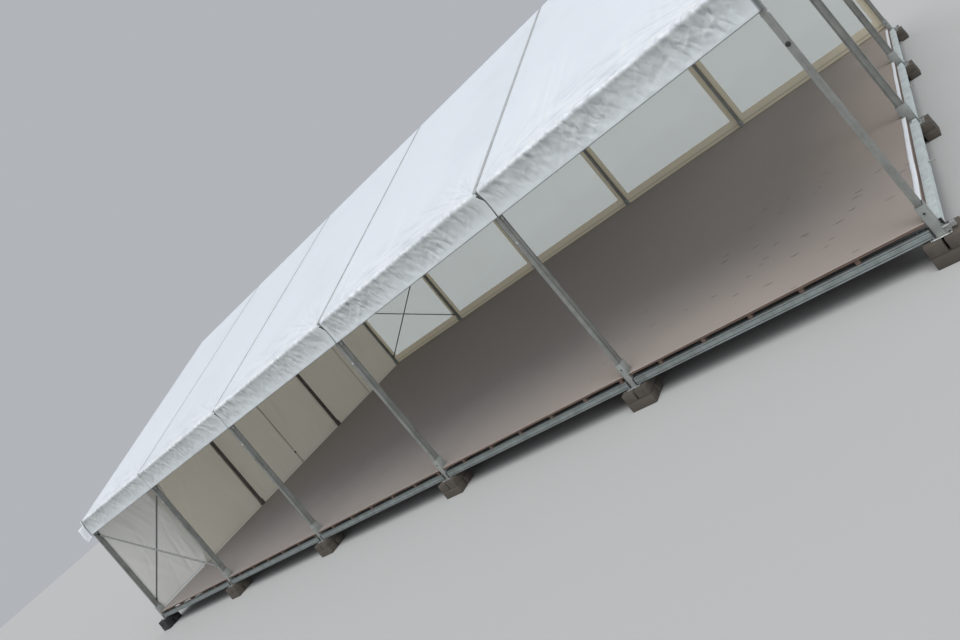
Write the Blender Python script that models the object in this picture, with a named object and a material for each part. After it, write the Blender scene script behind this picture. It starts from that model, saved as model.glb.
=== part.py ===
"""Frame marquee with a raised carpeted floor: five bays of three metres, nine metres wide.

Metres, +Z up. The origin is at the middle of the plan, on the ground.
+X runs along the length from the left gable to the right gable, and the open long side faces -Y.
"""

import math

import bmesh
import bpy
from mathutils import Matrix, Vector

# Plan
BAY_LENGTH = 3.0
BAY_COUNT = 5
SPAN_WIDTH = 9.0
GABLE_BAY_WIDTH = 3.0

# Roof: the eave is above the top of the floor, and the rise is from the eave to the ridge
EAVE_HEIGHT = 2.357
RISE_HEIGHT = 1.524
VALANCE_DEPTH = 0.334
GABLE_BEAM_DROP = 0.122

# Frame profile of the legs, rafters and gable uprights
PROFILE_WIDTH = 0.048
PROFILE_DEPTH = 0.088
RIDGE_KNEE_REACH = 0.26
TRACK_WIDTH = 0.045
TRACK_PROUD = 0.004
KNEE_CAP_DROP = 0.13
SEAT = 0.004

# Purlins and gable beams
EAVE_PURLIN_WIDTH = 0.048
EAVE_PURLIN_DEPTH = 0.070
MID_PURLIN_WIDTH = 0.048
MID_PURLIN_DEPTH = 0.060
MID_PURLIN_FRACTION = 0.5
RIDGE_PURLIN_WIDTH = 0.050
RIDGE_PURLIN_DEPTH = 0.060
GABLE_BEAM_WIDTH = 0.048
GABLE_BEAM_DEPTH = 0.070
SPIGOT = 0.024

# Braces of the first bay
WALL_BRACE_DIAMETER = 0.026
WALL_BRACE_SPACING = 0.030
WALL_BRACE_FOOT = 0.22
WALL_BRACE_HEAD_DROP = 0.405
WALL_BRACE_SETBACK = 0.014

# Feet
PACKING_SIZE = 0.30
PACKING_HEIGHT = 0.20
PLATE_LENGTH = 0.20
PLATE_WIDTH = 0.16
PLATE_THICKNESS = 0.010
SHOE_SIDE_PLAY = 0.004
SHOE_FACE_PLAY = 0.008
SHOE_WALL = 0.006
SHOE_ABOVE_FLOOR = 0.13

# Base rails: the overhang is from a leg's middle to the rail's outer face
RAIL_HEIGHT = 0.070
RAIL_WIDTH = 0.080
LONG_RAIL_OVERHANG = 0.067
GABLE_RAIL_OVERHANG = 0.050

# Floor
JOIST_HEIGHT = 0.045
JOIST_WIDTH = 0.040
JOIST_SPACING = 0.5
JOIST_FIRST = 0.4
JOIST_LAST_MARGIN = 0.5
JOIST_SETBACK = 0.010
EDGE_JOIST_SETBACK = 0.005
BEARER_WIDTH = 0.080
BEARER_PLACE = 2.25
BEARER_END = 0.10
BOARD_THICKNESS = 0.018
CARPET_THICKNESS = 0.005
FLOOR_LONG_OVERHANG = 0.055
FLOOR_GABLE_SETBACK = 0.020
NOTCH_CLEARANCE = 0.003

# Fabric, as flat closed solids
SHEET = 0.006
VALANCE_STANDOFF = 0.015
WALL_PLANE = 0.025
WINDOW_SIDE_BORDER = 0.12
WINDOW_BOTTOM_BORDER = 0.22
WINDOW_TOP_BORDER = 0.20

# Play between pieces that rest on each other or meet
GAP = 0.0003

# Points of one mesh this close together are the same point
MERGE_DISTANCE = 0.00003

# Derived shoe
SHOE_WIDTH = PROFILE_WIDTH + 2 * (SHOE_SIDE_PLAY + SHOE_WALL)
SHOE_DEPTH = PROFILE_DEPTH + 2 * (SHOE_FACE_PLAY + SHOE_WALL)

# Derived levels
PLATE_TOP = PACKING_HEIGHT + PLATE_THICKNESS
RAIL_BOTTOM = PLATE_TOP + GAP
RAIL_TOP = RAIL_BOTTOM + RAIL_HEIGHT
JOIST_BOTTOM = RAIL_TOP + GAP
JOIST_TOP = JOIST_BOTTOM + JOIST_HEIGHT
BOARD_TOP = JOIST_TOP + BOARD_THICKNESS
CARPET_BOTTOM = BOARD_TOP + GAP
FLOOR_TOP = CARPET_BOTTOM + CARPET_THICKNESS
SHOE_TOP = FLOOR_TOP + SHOE_ABOVE_FLOOR
EAVE_TOP = FLOOR_TOP + EAVE_HEIGHT
HEM = EAVE_TOP - VALANCE_DEPTH

# Derived plan
LENGTH = BAY_LENGTH * BAY_COUNT
HALF_LENGTH = LENGTH / 2
HALF_SPAN = SPAN_WIDTH / 2
FRAME_PLACES = [-HALF_LENGTH + BAY_LENGTH * index for index in range(BAY_COUNT + 1)]
UPRIGHT_PLACE = HALF_SPAN - GABLE_BAY_WIDTH
LEG_OUTER = HALF_SPAN + PROFILE_DEPTH / 2
LEG_INNER = HALF_SPAN - PROFILE_DEPTH / 2
HALF_PROFILE = PROFILE_WIDTH / 2
UPRIGHT_OUTER = HALF_LENGTH + PROFILE_DEPTH / 2

# Derived roof: the roof plane is the top of the sheets
EAVE_PLACE = LEG_OUTER + VALANCE_STANDOFF
SLOPE = math.atan2(RISE_HEIGHT, EAVE_PLACE)
RIDGE_TOP = EAVE_TOP + RISE_HEIGHT
COVER = SHEET + GAP
UNDERSIDE_RIDGE = RIDGE_TOP - (COVER + PROFILE_DEPTH) / math.cos(SLOPE)
LEG_TOP = UNDERSIDE_RIDGE - LEG_INNER * math.tan(SLOPE)
BEAM_TOP = EAVE_TOP - GABLE_BEAM_DROP
BEAM_BOTTOM = BEAM_TOP - GABLE_BEAM_DEPTH

# Turns a bar's own +Z to +X and its own X to down
ALONG_X = Matrix.Rotation(math.pi / 2, 4, "Y")

COLLECTION_NAME = "marquee_tent"
GUIDE_COLLECTION_NAME = "cutters"


def clear_scene():
    """Remove what the scene holds."""
    for scene_object in list(bpy.data.objects):
        bpy.data.objects.remove(scene_object, do_unlink=True)


def new_collection(name):
    """Add a collection to the scene."""
    collection = bpy.data.collections.new(name)
    bpy.context.scene.collection.children.link(collection)
    return collection


def new_material(name, colour, roughness, metallic=0.0):
    """Make a plain finish."""
    material = bpy.data.materials.new(name)
    material.use_nodes = True
    shader = material.node_tree.nodes["Principled BSDF"]
    shader.inputs["Base Color"].default_value = (*colour, 1.0)
    shader.inputs["Roughness"].default_value = roughness
    shader.inputs["Metallic"].default_value = metallic
    material.diffuse_color = (*colour, 1.0)
    return material


def add_box(shape, low, high):
    """Add a box between two opposite corners to a mesh in the making."""
    low = Vector(low)
    high = Vector(high)
    size = high - low
    place = Matrix.Translation((low + high) / 2)
    bmesh.ops.create_cube(shape, size=1.0, matrix=place @ Matrix.Diagonal((*size, 1.0)))


def add_stepped_bar(shape, place, stations):
    """Add a bar whose rectangular section steps along its own +Z.

    Each station gives a height and the half sizes there. The first two are the ends of the first
    block, and each later one is reached by extruding the end face. place puts the bar.
    """
    (start, half_x, half_y), (end, _, _) = stations[:2]
    centre = Matrix.Translation((0, 0, (start + end) / 2))
    size = Matrix.Diagonal((2 * half_x, 2 * half_y, end - start, 1.0))
    made = bmesh.ops.create_cube(shape, size=1.0, matrix=centre @ size)["verts"]
    end_face = max({face for vert in made for face in vert.link_faces}, key=face_height)
    points = set(made)
    for height, half_x, half_y in stations[2:]:
        end_face = bmesh.ops.extrude_discrete_faces(shape, faces=[end_face])["faces"][0]
        for vert in end_face.verts:
            vert.co.x = math.copysign(half_x, vert.co.x)
            vert.co.y = math.copysign(half_y, vert.co.y)
            vert.co.z = height
        points.update(end_face.verts)
    bmesh.ops.transform(shape, matrix=place, verts=list(points))


def face_height(face):
    """Give the height of a face's middle."""
    return face.calc_center_median().z


def add_rod(shape, start, end, diameter, sides=8):
    """Add a round rod between two points."""
    start = Vector(start)
    end = Vector(end)
    along = end - start
    turn = along.to_track_quat("Z", "Y").to_matrix().to_4x4()
    place = Matrix.Translation((start + end) / 2) @ turn
    radius = diameter / 2
    bmesh.ops.create_cone(
        shape,
        cap_ends=True,
        segments=sides,
        radius1=radius,
        radius2=radius,
        depth=along.length,
        matrix=place,
    )


def outline_mesh(outline, thickness):
    """Make a flat plate from an outline in Y and Z, centred on X = 0."""
    curve = bpy.data.curves.new("outline", "CURVE")
    curve.dimensions = "2D"
    curve.fill_mode = "BOTH"
    curve.extrude = thickness / 2
    spline = curve.splines.new("POLY")
    spline.points.add(len(outline) - 1)
    for point, (across, up) in zip(spline.points, outline):
        point.co = (across, up, 0, 1)
    spline.use_cyclic_u = True
    holder = bpy.data.objects.new("outline", curve)
    bpy.context.scene.collection.objects.link(holder)
    bpy.context.view_layer.update()
    evaluated = holder.evaluated_get(bpy.context.evaluated_depsgraph_get())
    mesh = bpy.data.meshes.new_from_object(evaluated)
    bpy.data.objects.remove(holder, do_unlink=True)
    # The outline's own axes become Y and Z
    mesh.transform(Matrix(((0, 0, 1, 0), (1, 0, 0, 0), (0, 1, 0, 0), (0, 0, 0, 1))))
    return mesh


def add_plate(shape, outline, x_low, x_high):
    """Add a plate with a given outline in Y and Z, between two places along X."""
    mesh = outline_mesh(outline, x_high - x_low)
    mesh.transform(Matrix.Translation(((x_low + x_high) / 2, 0, 0)))
    shape.from_mesh(mesh)
    bpy.data.meshes.remove(mesh)


def both_sides(half):
    """Complete an outline that is given from the middle out on the +Y side."""
    mirrored = [(-across, up) for across, up in reversed(half)]
    return half + [point for point in mirrored if point[0] != 0]


def make_object(name, shape, collection):
    """Turn a mesh in the making into an object."""
    bmesh.ops.remove_doubles(shape, verts=shape.verts, dist=MERGE_DISTANCE)
    bmesh.ops.recalc_face_normals(shape, faces=shape.faces)
    mesh = bpy.data.meshes.new(name)
    shape.to_mesh(mesh)
    shape.free()
    made = bpy.data.objects.new(name, mesh)
    collection.objects.link(made)
    return made


def make_node(name, shape, material, collection):
    """Turn a mesh in the making into a named part."""
    node = make_object(name, shape, collection)
    node.data.materials.append(material)
    return node


def make_guide(name, shape, guides):
    """Turn a mesh in the making into a shape that is only joined to others or cut from them."""
    guide = make_object(name, shape, guides)
    guide.hide_render = True
    guide.display_type = "WIRE"
    return guide


def combine(node, guide, operation):
    """Join a guide to a part, or cut it out."""
    modifier = node.modifiers.new(guide.name, "BOOLEAN")
    modifier.operation = operation
    modifier.solver = "EXACT"
    modifier.object = guide


def roof_line(across, depth):
    """Give the height of a line parallel to the roof plane, at a depth square to it."""
    return RIDGE_TOP - depth / math.cos(SLOPE) - abs(across) * math.tan(SLOPE)


def slope_point(reach, depth):
    """Give Y and Z of a point on the +Y slope, down from the ridge and under the roof plane."""
    across = reach * math.cos(SLOPE) - depth * math.sin(SLOPE)
    up = RIDGE_TOP - reach * math.sin(SLOPE) - depth * math.cos(SLOPE)
    return across, up


def bays():
    """Give the left and right frame place of each bay."""
    return list(zip(FRAME_PLACES[:-1], FRAME_PLACES[1:]))


def gable_spans(corner, upright_half):
    """Give the three stretches of a gable, between its corners and its uprights."""
    outer = UPRIGHT_PLACE + upright_half
    inner = UPRIGHT_PLACE - upright_half
    return [(-corner, -outer), (-inner, inner), (outer, corner)]


def foot_places():
    """Give the place of each foot, and the turn of the gable feet."""
    feet = []
    for side in (-1, 1):
        for place in FRAME_PLACES:
            feet.append((place, side * HALF_SPAN, 0))
    for end in (-1, 1):
        for side in (-1, 1):
            feet.append((end * HALF_LENGTH, side * UPRIGHT_PLACE, math.pi / 2))
    return feet


def foot_matrix(x_place, y_place, turn):
    """Put a foot at its place."""
    return Matrix.Translation((x_place, y_place, 0)) @ Matrix.Rotation(turn, 4, "Z")


def add_foot(shape, x_place, y_place, turn):
    """Add packing on the ground, a base plate on it and a square shoe open at the top."""
    packing = PACKING_SIZE / 2
    shoe_x = SHOE_WIDTH / 2
    shoe_y = SHOE_DEPTH / 2
    stations = [
        (0, packing, packing),
        (PACKING_HEIGHT, packing, packing),
        (PACKING_HEIGHT, PLATE_WIDTH / 2, PLATE_LENGTH / 2),
        (PLATE_TOP, PLATE_WIDTH / 2, PLATE_LENGTH / 2),
        (PLATE_TOP, shoe_x, shoe_y),
        (SHOE_TOP, shoe_x, shoe_y),
        (SHOE_TOP, shoe_x - SHOE_WALL, shoe_y - SHOE_WALL),
        (PLATE_TOP, shoe_x - SHOE_WALL, shoe_y - SHOE_WALL),
    ]
    add_stepped_bar(shape, foot_matrix(x_place, y_place, turn), stations)


def foot_notches(guides):
    """Make the notches that the floor and the walls have around the shoes."""
    shape = bmesh.new()
    half_x = SHOE_WIDTH / 2 + NOTCH_CLEARANCE
    half_y = SHOE_DEPTH / 2 + NOTCH_CLEARANCE
    top = SHOE_TOP + NOTCH_CLEARANCE
    for x_place, y_place, turn in foot_places():
        stations = [(PLATE_TOP, half_x, half_y), (top, half_x, half_y)]
        add_stepped_bar(shape, foot_matrix(x_place, y_place, turn), stations)
    return make_guide("foot_notches", shape, guides)


def frame_outline():
    """Outline a frame: two legs, two rafters, and a straight underside at the peak."""
    peak_corner = slope_point(RIDGE_KNEE_REACH, COVER + PROFILE_DEPTH)
    foot = PLATE_TOP - SEAT
    return both_sides([
        (0, roof_line(0, COVER)),
        (LEG_OUTER, roof_line(LEG_OUTER, COVER)),
        (LEG_OUTER, foot),
        (LEG_INNER, foot),
        (LEG_INNER, LEG_TOP),
        peak_corner,
    ])


def track_outline():
    """Outline the rail on a frame that grips the sheets, down to its cap at the eave."""
    cap_bottom = roof_line(EAVE_PLACE, 0) - KNEE_CAP_DROP
    root = LEG_OUTER - SEAT
    return both_sides([
        (0, roof_line(0, -TRACK_PROUD)),
        (EAVE_PLACE, roof_line(EAVE_PLACE, -TRACK_PROUD)),
        (EAVE_PLACE, cap_bottom),
        (root, cap_bottom),
        (root, roof_line(root, COVER + SEAT)),
        (0, roof_line(0, COVER + SEAT)),
    ])


def frames(material, collection, guides, holes):
    """The six frames, each on its two feet."""
    for number, place in enumerate(FRAME_PLACES, 1):
        shape = bmesh.new()
        add_plate(shape, frame_outline(), place - HALF_PROFILE, place + HALF_PROFILE)
        node = make_node(f"frame_{number}", shape, material, collection)
        track = bmesh.new()
        half = TRACK_WIDTH / 2
        add_plate(track, track_outline(), place - half, place + half)
        combine(node, make_guide(f"frame_{number}_track", track, guides), "UNION")
        feet = bmesh.new()
        for side in (-1, 1):
            add_foot(feet, place, side * HALF_SPAN, 0)
        combine(node, make_guide(f"frame_{number}_feet", feet, guides), "UNION")
        combine(node, holes, "DIFFERENCE")


def gable_frame(name, end, material, collection, guides, holes):
    """The two uprights of one gable on their feet, with the cross beam between the corner legs."""
    middle = end * HALF_LENGTH
    half_beam = GABLE_BEAM_WIDTH / 2
    half_depth = PROFILE_DEPTH / 2
    reach = LEG_INNER - GAP
    top = roof_line(UPRIGHT_PLACE + HALF_PROFILE, COVER + PROFILE_DEPTH) - GAP
    beam = bmesh.new()
    add_box(beam, (middle - half_beam, -reach, BEAM_BOTTOM), (middle + half_beam, reach, BEAM_TOP))
    node = make_node(name, beam, material, collection)
    uprights = bmesh.new()
    feet = bmesh.new()
    for side in (-1, 1):
        y_low = side * UPRIGHT_PLACE - HALF_PROFILE
        low = (middle - half_depth, y_low, PLATE_TOP - SEAT)
        add_box(uprights, low, (middle + half_depth, y_low + PROFILE_WIDTH, top))
        add_foot(feet, middle, side * UPRIGHT_PLACE, math.pi / 2)
    combine(node, make_guide(f"{name}_uprights", uprights, guides), "UNION")
    combine(node, make_guide(f"{name}_feet", feet, guides), "UNION")
    combine(node, holes, "DIFFERENCE")


def tube_line_matrix(across, up, tilt=0.0):
    """Turn a bar's own +Z to run along X, at a place in Y and Z."""
    return Matrix.Translation((0, across, up)) @ Matrix.Rotation(tilt, 4, "X") @ ALONG_X


def tube_line_stations(spans, half_depth, half_width):
    """Give the stations of tubes in a row that a thinner spigot joins through their supports."""
    spigot = SPIGOT / 2
    stations = []
    for start, end in spans:
        if stations:
            stations.append((stations[-1][0], spigot, spigot))
            stations.append((start, spigot, spigot))
            stations.append((start, half_depth, half_width))
        else:
            stations.append((start, half_depth, half_width))
        stations.append((end, half_depth, half_width))
    return stations


def add_spigot_hole(shape, place, reach):
    """Add the hole that a row's spigots pass through."""
    half = SPIGOT / 2 + GAP
    add_stepped_bar(shape, place, [(-reach, half, half), (reach, half, half)])


def roof_tube_spans():
    """Give the stretches of a purlin line between the frames."""
    return [(left + HALF_PROFILE + GAP, right - HALF_PROFILE - GAP) for left, right in bays()]


def purlin_lines():
    """Give each purlin line's name, place and half sizes."""
    mid_reach = MID_PURLIN_FRACTION * EAVE_PLACE / math.cos(SLOPE)
    mid_y, mid_z = slope_point(mid_reach, COVER + MID_PURLIN_DEPTH / 2)
    eave_y = LEG_OUTER - EAVE_PURLIN_WIDTH / 2
    eave_z = roof_line(LEG_OUTER, COVER) - EAVE_PURLIN_DEPTH / 2
    ridge_z = roof_line(RIDGE_PURLIN_WIDTH / 2, COVER) - RIDGE_PURLIN_DEPTH / 2
    eave = (EAVE_PURLIN_DEPTH / 2, EAVE_PURLIN_WIDTH / 2)
    mid = (MID_PURLIN_DEPTH / 2, MID_PURLIN_WIDTH / 2)
    ridge = (RIDGE_PURLIN_DEPTH / 2, RIDGE_PURLIN_WIDTH / 2)
    return [
        ("front_eave_purlin", tube_line_matrix(-eave_y, eave_z), eave),
        ("front_mid_purlin", tube_line_matrix(-mid_y, mid_z, SLOPE), mid),
        ("ridge_purlin", tube_line_matrix(0, ridge_z), ridge),
        ("back_mid_purlin", tube_line_matrix(mid_y, mid_z, -SLOPE), mid),
        ("back_eave_purlin", tube_line_matrix(eave_y, eave_z), eave),
    ]


def purlins(material, collection):
    """The five lines of tubes that join the frames."""
    for name, place, (half_depth, half_width) in purlin_lines():
        shape = bmesh.new()
        stations = tube_line_stations(roof_tube_spans(), half_depth, half_width)
        add_stepped_bar(shape, place, stations)
        make_node(name, shape, material, collection)


def long_rail_place(side):
    """Put a base rail under one long side."""
    across = side * (HALF_SPAN + LONG_RAIL_OVERHANG - RAIL_WIDTH / 2)
    return tube_line_matrix(across, RAIL_BOTTOM + RAIL_HEIGHT / 2)


def gable_rail_place(end):
    """Put a base rail under one gable."""
    across = end * (HALF_LENGTH + GABLE_RAIL_OVERHANG - RAIL_WIDTH / 2)
    turn = Matrix.Rotation(math.pi / 2, 4, "Z")
    return Matrix.Translation((across, 0, RAIL_BOTTOM + RAIL_HEIGHT / 2)) @ turn @ ALONG_X


def base_rails(material, collection):
    """The rails around the foot of the marquee, between the shoes."""
    half_shoe = SHOE_WIDTH / 2 + GAP
    corner = HALF_SPAN - SHOE_DEPTH / 2 - GAP
    long_spans = [(left + half_shoe, right - half_shoe) for left, right in bays()]
    gable_rail_spans = gable_spans(corner, half_shoe)
    rails = [
        ("front_base_rail", long_rail_place(-1), long_spans),
        ("back_base_rail", long_rail_place(1), long_spans),
        ("left_base_rail", gable_rail_place(-1), gable_rail_spans),
        ("right_base_rail", gable_rail_place(1), gable_rail_spans),
    ]
    for name, place, spans in rails:
        shape = bmesh.new()
        add_stepped_bar(shape, place, tube_line_stations(spans, RAIL_HEIGHT / 2, RAIL_WIDTH / 2))
        make_node(name, shape, material, collection)


def frame_holes(guides):
    """Make the holes of the frames, for the spigots of the purlins and of the long rails."""
    shape = bmesh.new()
    reach = HALF_LENGTH - SHOE_WIDTH
    places = [place for _, place, _ in purlin_lines()]
    places += [long_rail_place(side) for side in (-1, 1)]
    for place in places:
        add_spigot_hole(shape, place, reach)
    return make_guide("frame_holes", shape, guides)


def gable_holes(guides):
    """Make the holes of the gable uprights, for the spigots of the gable rails."""
    shape = bmesh.new()
    for end in (-1, 1):
        add_spigot_hole(shape, gable_rail_place(end), UPRIGHT_PLACE + SHOE_WIDTH)
    return make_guide("gable_holes", shape, guides)


def wall_braces(side_name, side, material, collection):
    """The two crossed rods of the first bay of one long side."""
    left, right = bays()[0]
    foot = FLOOR_TOP + WALL_BRACE_FOOT
    head = EAVE_TOP - WALL_BRACE_HEAD_DROP
    angle = math.atan2(head - foot, BAY_LENGTH - PROFILE_WIDTH)
    inset = HALF_PROFILE + GAP + WALL_BRACE_DIAMETER / 2 * math.sin(angle)
    middle = side * (HALF_SPAN - WALL_BRACE_SETBACK)
    half_spacing = WALL_BRACE_SPACING / 2
    rods = [("falling", -half_spacing, head, foot), ("rising", half_spacing, foot, head)]
    for lean, offset, start, end in rods:
        shape = bmesh.new()
        low = (left + inset, middle + offset, start)
        add_rod(shape, low, (right - inset, middle + offset, end), WALL_BRACE_DIAMETER)
        make_node(f"{side_name}_wall_brace_{lean}", shape, material, collection)


def floor_bearers(material, collection):
    """The sleepers on the ground that carry the joists between the long sides."""
    end_place = HALF_LENGTH - BEARER_END
    half = BEARER_WIDTH / 2
    bearers = [("front", -BEARER_PLACE), ("middle", 0), ("back", BEARER_PLACE)]
    for position, line in bearers:
        shape = bmesh.new()
        add_box(shape, (-end_place, line - half, 0), (end_place, line + half, RAIL_TOP))
        make_node(f"{position}_floor_bearer", shape, material, collection)


def joist_places():
    """Give the places of the joists that run across the floor."""
    places = []
    place = -HALF_LENGTH + JOIST_FIRST
    while place < HALF_LENGTH - JOIST_LAST_MARGIN:
        places.append(place)
        place += JOIST_SPACING
    return places


def floor_deck(material, collection, guides, notches):
    """The floor boards on their joists, notched around the feet."""
    reach_x = HALF_LENGTH - FLOOR_GABLE_SETBACK
    reach_y = HALF_SPAN + FLOOR_LONG_OVERHANG
    boards = bmesh.new()
    add_box(boards, (-reach_x, -reach_y, JOIST_TOP), (reach_x, reach_y, BOARD_TOP))
    node = make_node("floor_deck", boards, material, collection)
    joists = bmesh.new()
    joist_reach = reach_y - JOIST_SETBACK
    top = JOIST_TOP + SEAT
    half = JOIST_WIDTH / 2
    for place in joist_places():
        low = (place - half, -joist_reach, JOIST_BOTTOM)
        add_box(joists, low, (place + half, joist_reach, top))
    corner = HALF_SPAN - SHOE_DEPTH / 2 - NOTCH_CLEARANCE
    edge = reach_x - EDGE_JOIST_SETBACK
    for end in (-1, 1):
        edges = sorted((end * edge, end * (edge - JOIST_WIDTH)))
        for start, stop in gable_spans(corner, SHOE_WIDTH / 2 + NOTCH_CLEARANCE):
            add_box(joists, (edges[0], start, JOIST_BOTTOM), (edges[1], stop, top))
    combine(node, notches, "DIFFERENCE")
    combine(node, make_guide("floor_joists", joists, guides), "UNION")


def carpet(material, collection, notches):
    """The carpet over the whole floor, notched around the feet."""
    shape = bmesh.new()
    reach_x = HALF_LENGTH - FLOOR_GABLE_SETBACK
    reach_y = HALF_SPAN + FLOOR_LONG_OVERHANG
    add_box(shape, (-reach_x, -reach_y, CARPET_BOTTOM), (reach_x, reach_y, FLOOR_TOP))
    combine(make_node("carpet", shape, material, collection), notches, "DIFFERENCE")


def roof_sheet_outline():
    """Outline a roof sheet, from the hem of one hanging edge over the ridge to the other."""
    inner = EAVE_PLACE - SHEET
    return both_sides([
        (0, roof_line(0, 0)),
        (EAVE_PLACE, roof_line(EAVE_PLACE, 0)),
        (EAVE_PLACE, HEM),
        (inner, HEM),
        (inner, roof_line(inner, SHEET)),
        (0, roof_line(0, SHEET)),
    ])


def roof_sheets(material, collection):
    """One sheet over each bay, with its hanging edges."""
    clear = TRACK_WIDTH / 2 + GAP
    for number, (left, right) in enumerate(bays(), 1):
        shape = bmesh.new()
        add_plate(shape, roof_sheet_outline(), left + clear, right - clear)
        make_node(f"roof_sheet_{number}", shape, material, collection)


def left_gable_wall(material, collection, notches):
    """The sheets that close the left gable below the cross beam, one to each stretch."""
    middle = -HALF_LENGTH - WALL_PLANE
    bottom = RAIL_TOP + GAP
    top = BEAM_BOTTOM - GAP
    spans = gable_spans(LEG_INNER - GAP, HALF_PROFILE + GAP)
    for position, (start, stop) in zip(("front", "middle", "back"), spans):
        shape = bmesh.new()
        low = (middle - SHEET / 2, start, bottom)
        add_box(shape, low, (middle + SHEET / 2, stop, top))
        node = make_node(f"left_wall_{position}", shape, material, collection)
        combine(node, notches, "DIFFERENCE")


def gable_triangle(name, end, material, collection):
    """The sheet that closes one gable above the eaves."""
    outline = both_sides([
        (0, roof_line(0, COVER)),
        (LEG_OUTER, roof_line(LEG_OUTER, COVER)),
        (LEG_OUTER, BEAM_BOTTOM),
    ])
    shape = bmesh.new()
    edges = sorted((end * (UPRIGHT_OUTER + GAP), end * (UPRIGHT_OUTER + GAP + SHEET)))
    add_plate(shape, outline, edges[0], edges[1])
    make_node(name, shape, material, collection)


def back_walls(border_material, window_material, collection, guides, notches):
    """A clear window in a sheet border, in each bay of the back wall."""
    middle = HALF_SPAN + WALL_PLANE
    inner = middle - SHEET / 2
    outer = middle + SHEET / 2
    bottom = FLOOR_TOP + GAP
    top = roof_line(LEG_OUTER, COVER) - EAVE_PURLIN_DEPTH - GAP
    sill = bottom + WINDOW_BOTTOM_BORDER
    lintel = top - WINDOW_TOP_BORDER
    for number, (left, right) in enumerate(bays(), 1):
        x_low = left + HALF_PROFILE + GAP
        x_high = right - HALF_PROFILE - GAP
        border = bmesh.new()
        add_box(border, (x_low, inner, bottom), (x_high, outer, top))
        node = make_node(f"back_wall_{number}", border, border_material, collection)
        light = bmesh.new()
        side_low = x_low + WINDOW_SIDE_BORDER
        side_high = x_high - WINDOW_SIDE_BORDER
        add_box(light, (side_low, inner - SHEET, sill), (side_high, outer + SHEET, lintel))
        combine(node, make_guide(f"back_wall_{number}_light", light, guides), "DIFFERENCE")
        combine(node, notches, "DIFFERENCE")
        window = bmesh.new()
        low = (side_low + GAP, inner, sill + GAP)
        add_box(window, low, (side_high - GAP, outer, lintel - GAP))
        make_node(f"back_window_{number}", window, window_material, collection)


def main():
    """Build the marquee."""
    clear_scene()
    parts = new_collection(COLLECTION_NAME)
    guides = new_collection(GUIDE_COLLECTION_NAME)

    aluminium = new_material("aluminium", (0.52, 0.53, 0.50), 0.45, 0.9)
    rods = new_material("brace_rods", (0.62, 0.62, 0.60), 0.4, 0.9)
    timber = new_material("timber", (0.24, 0.17, 0.11), 0.85)
    boards = new_material("plywood", (0.35, 0.26, 0.17), 0.8)
    carpet_pile = new_material("carpet", (0.30, 0.27, 0.26), 0.95)
    roof_fabric = new_material("roof_fabric", (0.82, 0.84, 0.88), 0.5)
    wall_fabric = new_material("wall_fabric", (0.66, 0.66, 0.65), 0.55)
    border_fabric = new_material("border_fabric", (0.72, 0.68, 0.60), 0.55)
    clear_sheet = new_material("clear_sheet", (0.55, 0.60, 0.58), 0.1)

    notches = foot_notches(guides)
    frames(aluminium, parts, guides, frame_holes(guides))
    upright_holes = gable_holes(guides)
    gable_frame("left_gable_frame", -1, aluminium, parts, guides, upright_holes)
    gable_frame("right_gable_frame", 1, aluminium, parts, guides, upright_holes)
    purlins(aluminium, parts)
    base_rails(aluminium, parts)
    wall_braces("front", -1, rods, parts)
    wall_braces("back", 1, rods, parts)
    floor_bearers(timber, parts)
    floor_deck(boards, parts, guides, notches)
    carpet(carpet_pile, parts, notches)
    roof_sheets(roof_fabric, parts)
    left_gable_wall(wall_fabric, parts, notches)
    gable_triangle("left_gable_triangle", -1, wall_fabric, parts)
    gable_triangle("right_gable_triangle", 1, wall_fabric, parts)
    back_walls(border_fabric, clear_sheet, parts, guides, notches)


main()
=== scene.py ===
"""Looks of a frame marquee: five bays, nine metres wide, with a raised carpeted floor.

Metres, +Z up. +X runs from the closed left gable to the open right one, and the open long
side faces -Y. Everything stands on the solids that the frame brings in.
"""

import math

import bmesh
import bpy
import numpy as np
from bpy.props import FloatProperty, FloatVectorProperty, PointerProperty
from mathutils import Matrix, Vector


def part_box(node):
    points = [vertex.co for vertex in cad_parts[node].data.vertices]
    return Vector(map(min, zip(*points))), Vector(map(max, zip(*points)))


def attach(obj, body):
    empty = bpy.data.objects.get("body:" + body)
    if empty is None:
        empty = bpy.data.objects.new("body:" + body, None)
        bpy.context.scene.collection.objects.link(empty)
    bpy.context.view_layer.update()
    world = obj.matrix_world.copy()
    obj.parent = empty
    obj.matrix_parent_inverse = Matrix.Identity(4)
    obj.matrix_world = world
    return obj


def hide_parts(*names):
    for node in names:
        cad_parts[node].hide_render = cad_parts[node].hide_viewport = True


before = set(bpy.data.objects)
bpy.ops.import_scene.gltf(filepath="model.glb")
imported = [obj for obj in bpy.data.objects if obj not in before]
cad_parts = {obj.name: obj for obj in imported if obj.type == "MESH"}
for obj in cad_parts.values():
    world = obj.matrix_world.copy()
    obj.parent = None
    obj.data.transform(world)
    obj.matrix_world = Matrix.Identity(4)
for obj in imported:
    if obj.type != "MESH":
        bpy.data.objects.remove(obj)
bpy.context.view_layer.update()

bl_info = {
    "name": "Marquee Tent",
    "version": (1, 0, 0),
    "blender": (4, 5, 0),
    "location": "View3D > Sidebar > Marquee",
    "description": "Builds a frame marquee with its covers, windows and raised floor",
    "category": "Add Mesh",
}


def box_middle(node, axis):
    """Give the middle of a solid along one axis."""
    low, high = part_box(node)
    return (low[axis] + high[axis]) / 2


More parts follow.
